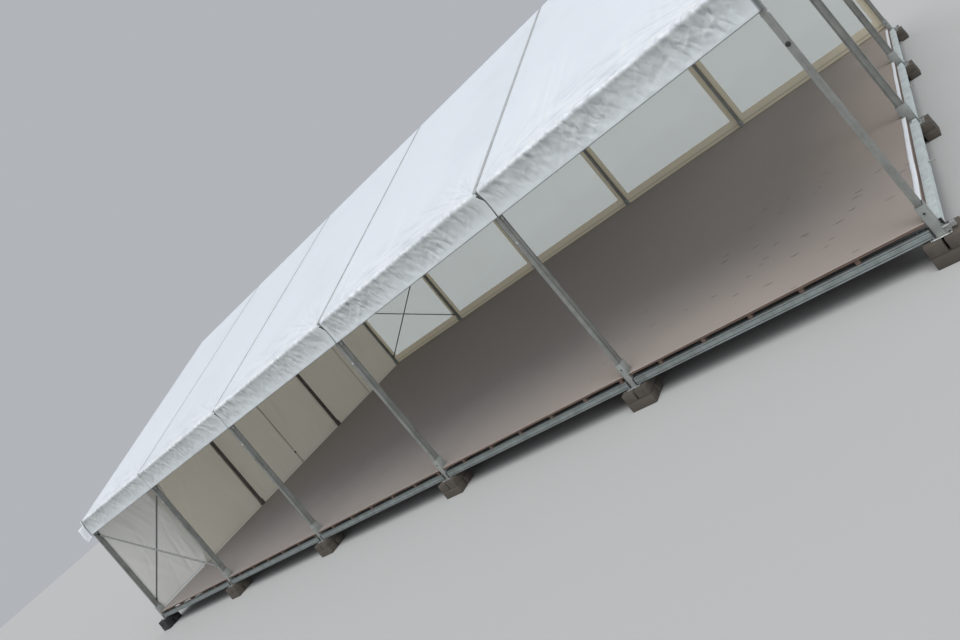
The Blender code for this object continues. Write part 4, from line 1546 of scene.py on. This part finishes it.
class MARQUEE_OT_finishes(bpy.types.Operator):
    """Make the finishes of all the pieces"""

    bl_idname = "marquee.finishes"
    bl_label = "Finishes"

    def execute(self, context):
        make_finishes(context)
        return {"FINISHED"}


class MARQUEE_OT_stage(bpy.types.Operator):
    """Make the plain floor, the soft light and the camera"""

    bl_idname = "marquee.stage"
    bl_label = "Floor, light and camera"

    def execute(self, context):
        stage = context.scene.marquee_stage
        clear_selection()
        bpy.ops.mesh.primitive_plane_add(size=FLOOR_SIZE)
        floor = bpy.context.object
        floor.name = "studio_floor"
        plain = Finish("studio_floor", tuple(stage.floor_colour), 0.9)
        paint(floor, plain.material)
        world = bpy.data.worlds.new("studio_sky")
        world.use_nodes = True
        sky = world.node_tree.nodes["Background"]
        sky.inputs["Color"].default_value = (*stage.sky_colour, 1)
        sky.inputs["Strength"].default_value = 1.0
        context.scene.world = world
        context.scene.view_settings.view_transform = "Standard"
        for name, power, spread, colour, source in (
            ("overhead", stage.overhead, 50, (1.0, 1.0, 1.0), (0.18, -0.45, 1.0)),
            ("side", stage.side, 40, (0.86, 0.94, 1.0), (0.85, -0.50, 0.30)),
        ):
            light = bpy.data.lights.new(name, "SUN")
            light.energy = power
            light.color = colour
            light.angle = math.radians(spread)
            holder = bpy.data.objects.new(name, light)
            turn = Vector(source).to_track_quat("Z", "Y")
            holder.matrix_world = turn.to_matrix().to_4x4()
            context.scene.collection.objects.link(holder)
        camera = bpy.data.cameras.new("viewpoint")
        camera.sensor_width = SENSOR_WIDTH
        camera.lens = FOCAL_PIXELS * SENSOR_WIDTH / PICTURE_WIDTH
        camera.shift_x = SHIFT_PIXELS[0] / PICTURE_WIDTH
        camera.shift_y = SHIFT_PIXELS[1] / PICTURE_WIDTH
        camera.clip_start = 0.1
        camera.clip_end = VIEW_REACH
        viewer = bpy.data.objects.new("viewpoint", camera)
        context.scene.collection.objects.link(viewer)
        viewer.matrix_world = camera_place()
        context.scene.camera = viewer
        return {"FINISHED"}


# Camera and floor: the picture in pixels, places in metres, turns in radians
SENSOR_WIDTH = 36.0
PICTURE_WIDTH = 960
FOCAL_PIXELS = 723.06
SHIFT_PIXELS = (10.51, -89.63)
VIEW_REACH = 400
FLOOR_SIZE = 160
CAMERA_POINT = (8.438, -10.496, 2.648)
CAMERA_YAW = -0.6240
CAMERA_PITCH = -0.0283
CAMERA_ROLL = -0.6918


def camera_place():
    """Put the camera where it looks along the open side, tilted as the view is."""
    forward = Vector(
        (
            math.sin(CAMERA_YAW) * math.cos(CAMERA_PITCH),
            math.cos(CAMERA_YAW) * math.cos(CAMERA_PITCH),
            math.sin(CAMERA_PITCH),
        )
    )
    right = Vector((math.cos(CAMERA_YAW), -math.sin(CAMERA_YAW), 0))
    up = right.cross(forward)
    right_tilted = math.cos(CAMERA_ROLL) * right + math.sin(CAMERA_ROLL) * up
    up_tilted = -math.sin(CAMERA_ROLL) * right + math.cos(CAMERA_ROLL) * up
    turn = Matrix((right_tilted, up_tilted, -forward)).transposed().to_4x4()
    return Matrix.Translation(CAMERA_POINT) @ turn


class MARQUEE_OT_frames(bpy.types.Operator):
    """Make the six frames with their tracks, caps, peak pieces and bolts"""

    bl_idname = "marquee.frames"
    bl_label = "Frames"

    def execute(self, context):
        metal = FINISHES["aluminium"]
        head = bolt(0.011, 0.009, FINISHES["steel"])
        dark_head = bolt(0.013, 0.007, FINISHES["dark"])
        for number, x in enumerate(FRAME_X, 1):
            pieces = portal(x, metal) + track(x, FINISHES["track"])
            pieces.append(peak_piece(x, FINISHES["steel"]))
            for side in SIDES:
                pieces += knee_cap(x, side, FINISHES["cap"], FINISHES["dark"])
            spots = []
            for face in SIDES:
                turn = Matrix.Rotation(face * QUARTER, 4, "Y")
                for side in SIDES:
                    places = [(side * LEG_Y, height) for height in KNEE_BOLTS]
                    for out in RAFTER_BOLTS:
                        places.append((side * out, roof_z(out, COVER + PROFILE_DEPTH / 2)))
                    for y, z in places:
                        out = x + face * (PROFILE_WIDTH / 2 - 0.0015)
                        spots.append(at(out, y, z) @ turn)
            pieces += copy_to(head, spots)
            spots = []
            for side in SIDES:
                turn = Matrix.Rotation(-side * QUARTER, 4, "X")
                spots.append(at(x, side * (LEG_OUTER - 0.0015), LEG_BOLT) @ turn)
            pieces += copy_to(head if number < len(FRAME_X) else dark_head, spots)
            made = join(f"portal_{number}", pieces)
            rides(made, "aluminium", f"frame_{number}")
        remove(head)
        remove(dark_head)
        return {"FINISHED"}


class MARQUEE_OT_feet(bpy.types.Operator):
    """Make the shoes, plates and packing under the legs and the gable uprights"""

    bl_idname = "marquee.feet"
    bl_label = "Feet"

    def execute(self, context):
        pattern = shoe(FINISHES["shoe"], FINISHES["steel"], FINISHES["dark"])
        stack = packing_stack(FINISHES["packing"], FINISHES["packing_across"])
        for number, (node, place) in enumerate(foot_places(), 1):
            foot = copy_to(pattern, [place])[0]
            foot.name = f"foot_{number}"
            # The feet of the closed gable take the dark metal of its frame: painted shade
            if node == "left_gable_frame":
                foot.material_slots[FINISHES["shoe"].name].material = FINISHES["upright"]
            rides(foot, "aluminium", node)
            timber = copy_to(stack, [place])[0]
            timber.name = f"packing_{number}"
            rides(timber, "timber", node)
            if number == 1:
                paint(timber, FINISHES["rubber"])
        remove(pattern)
        remove(stack)
        return {"FINISHED"}


def small_bar(width, height, length, place, finish, cuts=(), groove=True):
    """Make a length of a smaller tube, with a groove along each broad face."""
    x = width / 2
    y = height / 2
    slot = 0.005
    if not groove:
        return bar([-x, x], [-y, y], [], length, place, finish, cuts, 0.004)
    columns = [-x, -x + slot, -slot, slot, x - slot, x]
    rows = [-y, -y + slot, -slot, slot, y - slot, y]
    empty = [(-x, -x + slot, -slot, slot), (x - slot, x, -slot, slot)]
    empty += [(-slot, slot, -y, -y + slot), (-slot, slot, y - slot, y)]
    return bar(columns, rows, empty, length, place, finish, cuts, 0.0015)


class MARQUEE_OT_gable_frames(bpy.types.Operator):
    """Make the uprights and the cross beam of both gables"""

    bl_idname = "marquee.gable_frames"
    bl_label = "Gable frames"

    def execute(self, context):
        beam_high = EAVE - 0.122
        for node, end in (("left_gable_frame", -1), ("right_gable_frame", 1)):
            pieces = []
            # The closed gable's frame takes the dark metal: painted shade
            metal = FINISHES["upright" if end < 0 else "aluminium"]
            x = end * HALF_LENGTH
            for side in SIDES:
                place = at(x, side * UPRIGHT_Y, PLATE_TOP + 0.004) @ SIDEWAYS
                under = (0, 0, roof_z(0, COVER + PROFILE_DEPTH) - 0.002)
                slope = (0, side * math.sin(SLOPE), math.cos(SLOPE))
                pieces.append(frame_bar(UPRIGHT_STOCK, place, metal, [(under, slope)]))
            spans = [(-LEG_INNER, -UPRIGHT_Y), (-UPRIGHT_Y, UPRIGHT_Y), (UPRIGHT_Y, LEG_INNER)]
            for low, high in spans:
                gap = 0.001
                start = low + (gap if low == -LEG_INNER else PROFILE_WIDTH / 2 + gap)
                stop = high - (gap if high == LEG_INNER else PROFILE_WIDTH / 2 + gap)
                place = at(x, start, beam_high - 0.035)
                place = place @ Matrix.Rotation(-QUARTER, 4, "X")
                pieces.append(small_bar(0.048, 0.070, stop - start, place, metal))
            head = bolt(0.010, 0.008, FINISHES["steel"])
            spots = []
            for side in SIDES:
                for z in (beam_high - 0.015, beam_high - 0.055):
                    for face in SIDES:
                        spot = at(x + face * PROFILE_DEPTH / 2, side * UPRIGHT_Y, z)
                        spots.append(spot @ Matrix.Rotation(face * QUARTER, 4, "Y"))
            pieces += copy_to(head, spots)
            remove(head)
            made = join(f"gable_uprights_{'left' if end < 0 else 'right'}", pieces)
            rides(made, "aluminium", node)
        return {"FINISHED"}


class MARQUEE_OT_purlins(bpy.types.Operator):
    """Make the five lines of purlins with their end brackets"""

    bl_idname = "marquee.purlins"
    bl_label = "Purlins"

    def execute(self, context):
        lines = [
            ("front_eave_purlin", 0.0),
            ("front_mid_purlin", SLOPE),
            ("ridge_purlin", 0.0),
            ("back_mid_purlin", -SLOPE),
            ("back_eave_purlin", 0.0),
        ]
        sizes = {"eave": (0.066, 0.034), "mid": (0.060, 0.048), "ridge": (0.060, 0.050)}
        for node, tilt in lines:
            depth, width = sizes[node.replace("_purlin", "").split("_")[-1]]
            y = box_middle(node, 1)
            z = box_middle(node, 2)
            line = at(0, y, z) @ Matrix.Rotation(tilt, 4, "X")
            pieces = []
            for left, right in BAYS:
                start = left + PROFILE_WIDTH / 2 + 0.009
                stop = right - PROFILE_WIDTH / 2 - 0.009
                place = line @ at(start, 0, 0) @ ALONG_X
                pieces.append(small_bar(depth, width, stop - start, place, FINISHES["aluminium"]))
                for edge, out in ((start, -1), (stop, 1)):
                    x_low, x_high = sorted((edge + out * 0.0083, edge - out * 0.030))
                    plate = block(
                        (x_low, -width / 2 - 0.003, -depth / 2 - 0.003),
                        (x_high, width / 2 + 0.0005, depth / 2 + 0.0005),
                        FINISHES["steel"],
                        0.0015,
                    )
                    put(plate, line)
                    pieces.append(plate)
            made = join(f"{node}_line", pieces)
            rides(made, "aluminium", node)
        return {"FINISHED"}


def rail_bar(length, place, finish):
    """Make a length of base rail, with a deep groove along the outer face and one on top."""
    x = 0.035
    y = 0.040
    near, far = -x + 0.006, -x + 0.014
    top_near, top_far = 0.016, 0.022
    deep = 0.012
    columns = [-x, near, far, top_near, top_far, x]
    rows = [-y, -y + deep, -0.006, 0.006, y - deep, y]
    empty = [(near, far, -y, -y + deep), (near, far, y - deep, y)]
    empty += [(top_near, top_far, -y, -y + deep)]
    return bar(columns, rows, empty, length, place, finish, (), 0.0018)


class MARQUEE_OT_base_rails(bpy.types.Operator):
    """Make the rails between the shoes, with dark end plates and bolts"""

    bl_idname = "marquee.base_rails"
    bl_label = "Base rails"

    def execute(self, context):
        z = (RAIL_LOW.z + RAIL_TOP) / 2
        head = bolt(0.009, 0.007, FINISHES["steel"], FINISHES["dark"])
        half_shoe = SHOE_WIDTH / 2 + 0.001
        corner = LEG_Y - SHOE_DEPTH / 2 - 0.001
        long_spans = [(left + half_shoe, right - half_shoe) for left, right in BAYS]
        gable_spans = [
            (-corner, -UPRIGHT_Y - half_shoe),
            (-UPRIGHT_Y + half_shoe, UPRIGHT_Y - half_shoe),
            (UPRIGHT_Y + half_shoe, corner),
        ]
        half_turn = Matrix.Rotation(math.pi, 4, "Z")
        for side in ("front", "back", "left", "right"):
            node = f"{side}_base_rail"
            spans = long_spans if side in ("front", "back") else gable_spans
            if spans is long_spans:
                line = at(0, box_middle(node, 1), z)
            else:
                line = at(box_middle(node, 0), 0, z) @ SIDEWAYS
            if side in ("back", "left"):
                line = line @ half_turn
            pieces = []
            finish = FINISHES["pale_rail" if node == "right_base_rail" else "rail"]
            for start, stop in spans:
                place = line @ at(start + 0.012, 0, 0) @ ALONG_X
                pieces.append(rail_bar(stop - start - 0.024, place, finish))
                for edge, inward in ((start, 1), (stop, -1)):
                    x_low, x_high = sorted((edge, edge + inward * 0.011))
                    low = (x_low, -0.046, -0.0347)
                    plate = block(low, (x_high, 0.044, 0.038), FINISHES["dark"], 0.0)
                    round_all(plate, 0.005)
                    put(plate, line)
                    pieces.append(plate)
                    spots = []
                    for along in (0.045, 0.095):
                        spot = at(edge + inward * along, 0.018, 0.0345)
                        spots.append(line @ spot)
                    pieces += copy_to(head, spots)
            made = join(f"{node}_line", pieces)
            rides(made, "aluminium", node)
        remove(head)
        return {"FINISHED"}


def stay(name, start, end, radius, finish):
    """Make a brace bar with a flattened dark fitting and a bolt at each end."""
    start = Vector(start)
    end = Vector(end)
    along = (end - start).normalized()
    pieces = [rod(start + along * 0.05, end - along * 0.05, radius, finish)]
    for point, out in ((start, along), (end, -along)):
        pieces.append(rod(point, point + out * 0.085, radius * 1.25, FINISHES["dark"], 12, 0.001))
        middle = point + out * 0.03
        side = Vector((0, radius * 1.9, 0))
        pieces.append(rod(middle - side, middle + side, radius * 0.7, FINISHES["steel"], 6, 0.0008))
    return join(name, pieces)


class MARQUEE_OT_stays(bpy.types.Operator):
    """Make the crossed tie rods of the walls and the roof in the first bay"""

    bl_idname = "marquee.stays"
    bl_label = "Tie rods"

    def execute(self, context):
        for side in ("front", "back"):
            for lean in ("falling", "rising"):
                node = f"{side}_wall_brace_{lean}"
                low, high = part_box(node)
                y = (low.y + high.y) / 2
                ends = (high.z - 0.01, low.z + 0.01)
                if lean == "rising":
                    ends = ends[::-1]
                start = (low.x + 0.004, y, ends[0])
                finish = FINISHES["stay" if lean == "falling" else "brace"]
                end = (high.x - 0.004, y, ends[1])
                made = stay(f"{side}_{lean}_brace", start, end, WALL_ROD, finish)
                if lean == "rising":
                    between = (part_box(f"{side}_wall_brace_falling")[0].y + high.y) / 2
                    middle = Vector(((low.x + high.x) / 2, between, (low.z + high.z) / 2))
                    reach = Vector((0, 0.020, 0))
                    steel = FINISHES["steel"]
                    clamp = rod(middle - reach, middle + reach, 0.020, steel, 20, 0.002)
                    made = join(made.name, [made, clamp])
                rides(made, "brace_rods", node)
            y_sign = -1 if side == "front" else 1
            left = FRAME_X[0] + PROFILE_WIDTH / 2
            right = FRAME_X[1] - PROFILE_WIDTH / 2
            for number, (first, last) in enumerate((ROOF_TIE_ENDS, ROOF_TIE_ENDS[::-1]), 1):
                depth = COVER + 0.05 + 0.020 * number
                start = (left, y_sign * first, roof_z(first, depth))
                end = (right, y_sign * last, roof_z(last, depth))
                made = stay(f"{side}_roof_tie_{number}", start, end, ROOF_ROD, FINISHES["steel"])
                rides(made, "brace_rods")
        return {"FINISHED"}


class MARQUEE_OT_roof(bpy.types.Operator):
    """Make the five sheets of the roof with their hanging edges"""

    bl_idname = "marquee.roof"
    bl_label = "Roof sheets"

    def execute(self, context):
        settings = context.scene.marquee_cloth
        for number, (left, right) in enumerate(BAYS, 1):
            roof_sheet(number, left, right, settings)
        return {"FINISHED"}


class MARQUEE_OT_left_gable(bpy.types.Operator):
    """Make the six hanging sheets of the closed gable"""

    bl_idname = "marquee.left_gable"
    bl_label = "Left gable wall"

    def execute(self, context):
        half = PROFILE_WIDTH / 2 + 0.002
        spans = [
            ("front", -LEG_INNER + 0.002, -UPRIGHT_Y - half),
            ("middle", -UPRIGHT_Y + half, UPRIGHT_Y - half),
            ("back", UPRIGHT_Y + half, LEG_INNER - 0.002),
        ]
        number = 0
        for position, start, stop in spans:
            node = f"left_wall_{position}"
            middle = (start + stop) / 2
            # The sheet behind the loose one reaches further under it
            under = LOOSE_LAP if position == "front" else SHEET_LAP
            pair = ((start, middle + SHEET_LAP, 0.003), (middle - under, stop, -0.003))
            for low, high, shift in pair:
                number += 1
                name = f"gable_sheet_{number}"
                made = gable_panel(name, low, high, 40 + number, number == 1, shift)
                rides(made, "wall_fabric", node)
        return {"FINISHED"}


class MARQUEE_OT_triangles(bpy.types.Operator):
    """Make the covers of both gables above the eaves"""

    bl_idname = "marquee.triangles"
    bl_label = "Gable covers"

    def execute(self, context):
        triangle_cover("left_triangle_cover", -1, "left_gable_triangle")
        triangle_cover("right_triangle_cover", 1, "right_gable_triangle")
        return {"FINISHED"}


class MARQUEE_OT_back_wall(bpy.types.Operator):
    """Make the five window sheets of the back wall"""

    bl_idname = "marquee.back_wall"
    bl_label = "Back wall"

    def execute(self, context):
        for number in range(1, len(BAYS) + 1):
            window_wall(number)
        return {"FINISHED"}


class MARQUEE_OT_floor(bpy.types.Operator):
    """Finish the boards and bearers, and lay the carpet"""

    bl_idname = "marquee.floor"
    bl_label = "Floor"

    def execute(self, context):
        paint(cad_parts["floor_deck"], FINISHES["board"])
        for position in ("front", "middle", "back"):
            paint(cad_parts[f"{position}_floor_bearer"], FINISHES["bearer"])
        carpet_cover()
        return {"FINISHED"}


def edge_strip(number, start, stop, inner, width):
    """A white ribbon laid along the right edge of the carpet."""
    ups, shares = np.meshgrid(np.linspace(start, stop, 90), np.linspace(0, 1, 5), indexing="ij")
    waver = 0.003 * cloth_noise(ups + 20, shares, 0.5, 5.0, 60 + number)
    x = inner + shares * width + waver
    ripple = np.abs(cloth_noise(ups + 20, shares, 0.13, 5.0, 62 + number))
    z = FLOOR_TOP + 0.0015 + 0.0015 * ripple
    points = np.stack([x, ups, z], axis=-1)
    flat = np.stack([shares * width, ups], axis=-1)
    made = cloth(f"edge_strip_{number}", points, flat, FINISHES["strip"], 0.0012)
    rides(made, "roof_fabric")
    return made


def corner_flap():
    """The loose end of the gable cover that stands off the corner by the open side."""
    width = 0.15
    drop = 0.31
    ups, alongs = np.meshgrid(np.linspace(0, drop, 16), np.linspace(0, width, 20), indexing="ij")
    top = EAVE - 0.080
    share = alongs / width
    x = -HALF_LENGTH - 0.068 - 0.03 * share**2 - 0.02 * ramp(ups, 0, drop) * share
    x += 0.008 * cloth_noise(alongs, ups, 0.07, 0.2, 66)
    y = -LEG_OUTER + 0.012 - alongs * (0.96 - 0.15 * ramp(ups, 0.6 * drop, drop))
    z = top - ups - 0.030 * share**2
    points = np.stack([x, y, z], axis=-1)[:, ::-1]
    flat = np.stack([alongs, ups], axis=-1)[:, ::-1]
    made = cloth("corner_flap", points, flat, FINISHES["strip"], 0.002)
    rides(made, "wall_fabric")
    return made


class MARQUEE_OT_trims(bpy.types.Operator):
    """Make the edge ribbons, the wall pins of the open gable, the corner flap and a buckle"""

    bl_idname = "marquee.trims"
    bl_label = "Trims"

    def execute(self, context):
        shoe_reach = SHOE_WIDTH / 2 + 0.03
        edge_strip(1, -LEG_Y + 0.42, -UPRIGHT_Y - shoe_reach, 7.432, 0.044)
        edge_strip(2, -UPRIGHT_Y + shoe_reach, UPRIGHT_Y - shoe_reach, 7.440, 0.038)
        edge_strip(3, UPRIGHT_Y + shoe_reach, LEG_Y - 0.30, 7.440, 0.038)
        corner_flap()
        z = (RAIL_LOW.z + RAIL_TOP) / 2
        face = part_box("right_base_rail")[1].x
        pieces = []
        finish = FINISHES["shoe"]
        for y in WALL_PINS:
            end = (face + 0.062, y, z)
            pieces.append(rod((face - 0.004, y, z), end, PIN_RADIUS, finish, 12, 0.001))
        for side in SIDES:
            y = side * (LEG_Y + 0.035)
            out = HALF_LENGTH + SHOE_WIDTH / 2
            pieces.append(rod((out - 0.002, y, z), (out + 0.075, y, z), 0.011, finish, 12, 0.001))
            low = (out + 0.058, y - 0.020, z - 0.020)
            pieces.append(block(low, (out + 0.094, y + 0.020, z + 0.020), finish, 0.003))
        made = join("wall_pins", pieces)
        rides(made, "aluminium")
        x = -HALF_LENGTH - 0.014
        low = (x - 0.006, -0.016, FLOOR_TOP + 0.29)
        buckle = block(low, (x + 0.004, 0.016, FLOOR_TOP + 0.35), FINISHES["dark"], 0.002)
        low = (x - 0.006, -0.009, FLOOR_TOP + 0.24)
        strap = block(low, (x, 0.009, FLOOR_TOP + 0.40), FINISHES["wall"], 0.001)
        rides(join("wall_buckle", [buckle, strap]), "aluminium")
        return {"FINISHED"}


def colour_setting(name, description, default):
    """Give a setting for a colour."""
    return FloatVectorProperty(
        name=name,
        description=description,
        subtype="COLOR",
        size=3,
        min=0.0,
        max=1.0,
        default=default,
    )


class MARQUEE_PG_colours(bpy.types.PropertyGroup):
    """Colours of the marquee"""

    aluminium: colour_setting(
        "Aluminium", "Colour of the legs, rafters and purlins", (0.33, 0.335, 0.315)
    )
    shoe: colour_setting("Shoes", "Colour of the shoes at the feet", (0.35, 0.365, 0.345))
    rail: colour_setting("Base rails", "Colour of the rails round the floor", (0.30, 0.33, 0.325))
    roof: colour_setting("Roof", "Colour of the roof sheets on the slopes", (0.90, 0.93, 0.97))
    # Painted shade: the tint that stands in for the shade on the hanging edge of the roof sheets
    valance: colour_setting(
        "Hanging edge", "Colour of the roof sheets where they hang down", (0.625, 0.65, 0.63)
    )
    wall: colour_setting("Walls", "Colour of the sheets of the gables", (0.86, 0.825, 0.745))
    border: colour_setting(
        "Window borders", "Colour of the borders round the windows", (0.88, 0.83, 0.71)
    )
    carpet: colour_setting("Carpet", "Colour of the carpet", (0.262, 0.212, 0.178))


class MARQUEE_PG_cloth(bpy.types.PropertyGroup):
    """How the covers hang"""

    fold_depth: FloatProperty(
        name="Folds",
        description="How deep the folds of the hanging edge are, as a share",
        min=0.0,
        max=2.0,
        default=1.0,
        subtype="FACTOR",
    )
    tuck: FloatProperty(
        name="Tuck",
        description="How far the hanging edge draws in below the eave",
        min=0.0,
        max=0.03,
        default=0.020,
        unit="LENGTH",
    )
    sag: FloatProperty(
        name="Sag",
        description="How far a roof sheet sags between two frames",
        min=0.0,
        max=0.02,
        default=0.008,
        unit="LENGTH",
    )


class MARQUEE_PG_stage(bpy.types.PropertyGroup):
    """Floor and light around the marquee"""

    floor_colour: colour_setting("Floor", "Colour of the plain floor", (0.47, 0.47, 0.46))
    sky_colour: colour_setting("Sky", "Colour of the plain light all round", (0.44, 0.46, 0.49))
    overhead: FloatProperty(
        name="Overhead light",
        description="Strength of the soft light from above",
        min=0.0,
        max=10.0,
        default=1.95,
    )
    side: FloatProperty(
        name="Side light",
        description="Strength of the soft light from the side",
        min=0.0,
        max=10.0,
        default=0.75,
    )


OPERATORS = [
    MARQUEE_OT_finishes,
    MARQUEE_OT_stage,
    MARQUEE_OT_frames,
    MARQUEE_OT_feet,
    MARQUEE_OT_gable_frames,
    MARQUEE_OT_purlins,
    MARQUEE_OT_base_rails,
    MARQUEE_OT_stays,
    MARQUEE_OT_floor,
    MARQUEE_OT_roof,
    MARQUEE_OT_left_gable,
    MARQUEE_OT_triangles,
    MARQUEE_OT_back_wall,
    MARQUEE_OT_trims,
]


class MARQUEE_PT_panel(bpy.types.Panel):
    """The marquee's settings and pieces"""

    bl_idname = "MARQUEE_PT_panel"
    bl_label = "Marquee"
    bl_space_type = "VIEW_3D"
    bl_region_type = "UI"
    bl_category = "Marquee"

    def draw(self, context):
        """List the settings, then a button for each operator."""
        layout = self.layout
        for group in ("marquee_colours", "marquee_cloth", "marquee_stage"):
            box = layout.box()
            settings = getattr(context.scene, group)
            for name in settings.__annotations__:
                box.prop(settings, name)
        for operator in OPERATORS:
            layout.operator(operator.bl_idname)


SETTINGS = {
    "marquee_colours": MARQUEE_PG_colours,
    "marquee_cloth": MARQUEE_PG_cloth,
    "marquee_stage": MARQUEE_PG_stage,
}


def register():
    """Register the settings, the operators and the panel."""
    for group in SETTINGS.values():
        bpy.utils.register_class(group)
    for name, group in SETTINGS.items():
        setattr(bpy.types.Scene, name, PointerProperty(type=group))
    for operator in OPERATORS:
        bpy.utils.register_class(operator)
    bpy.utils.register_class(MARQUEE_PT_panel)


def unregister():
    """Take them all away again."""
    bpy.utils.unregister_class(MARQUEE_PT_panel)
    for operator in reversed(OPERATORS):
        bpy.utils.unregister_class(operator)
    for name, group in SETTINGS.items():
        delattr(bpy.types.Scene, name)
        bpy.utils.unregister_class(group)


def main():
    """Build the marquee."""
    register()
    for operator in OPERATORS:
        space, name = operator.bl_idname.split(".")
        getattr(getattr(bpy.ops, space), name)()
    clear_selection()


if __name__ == "__main__":
    main()
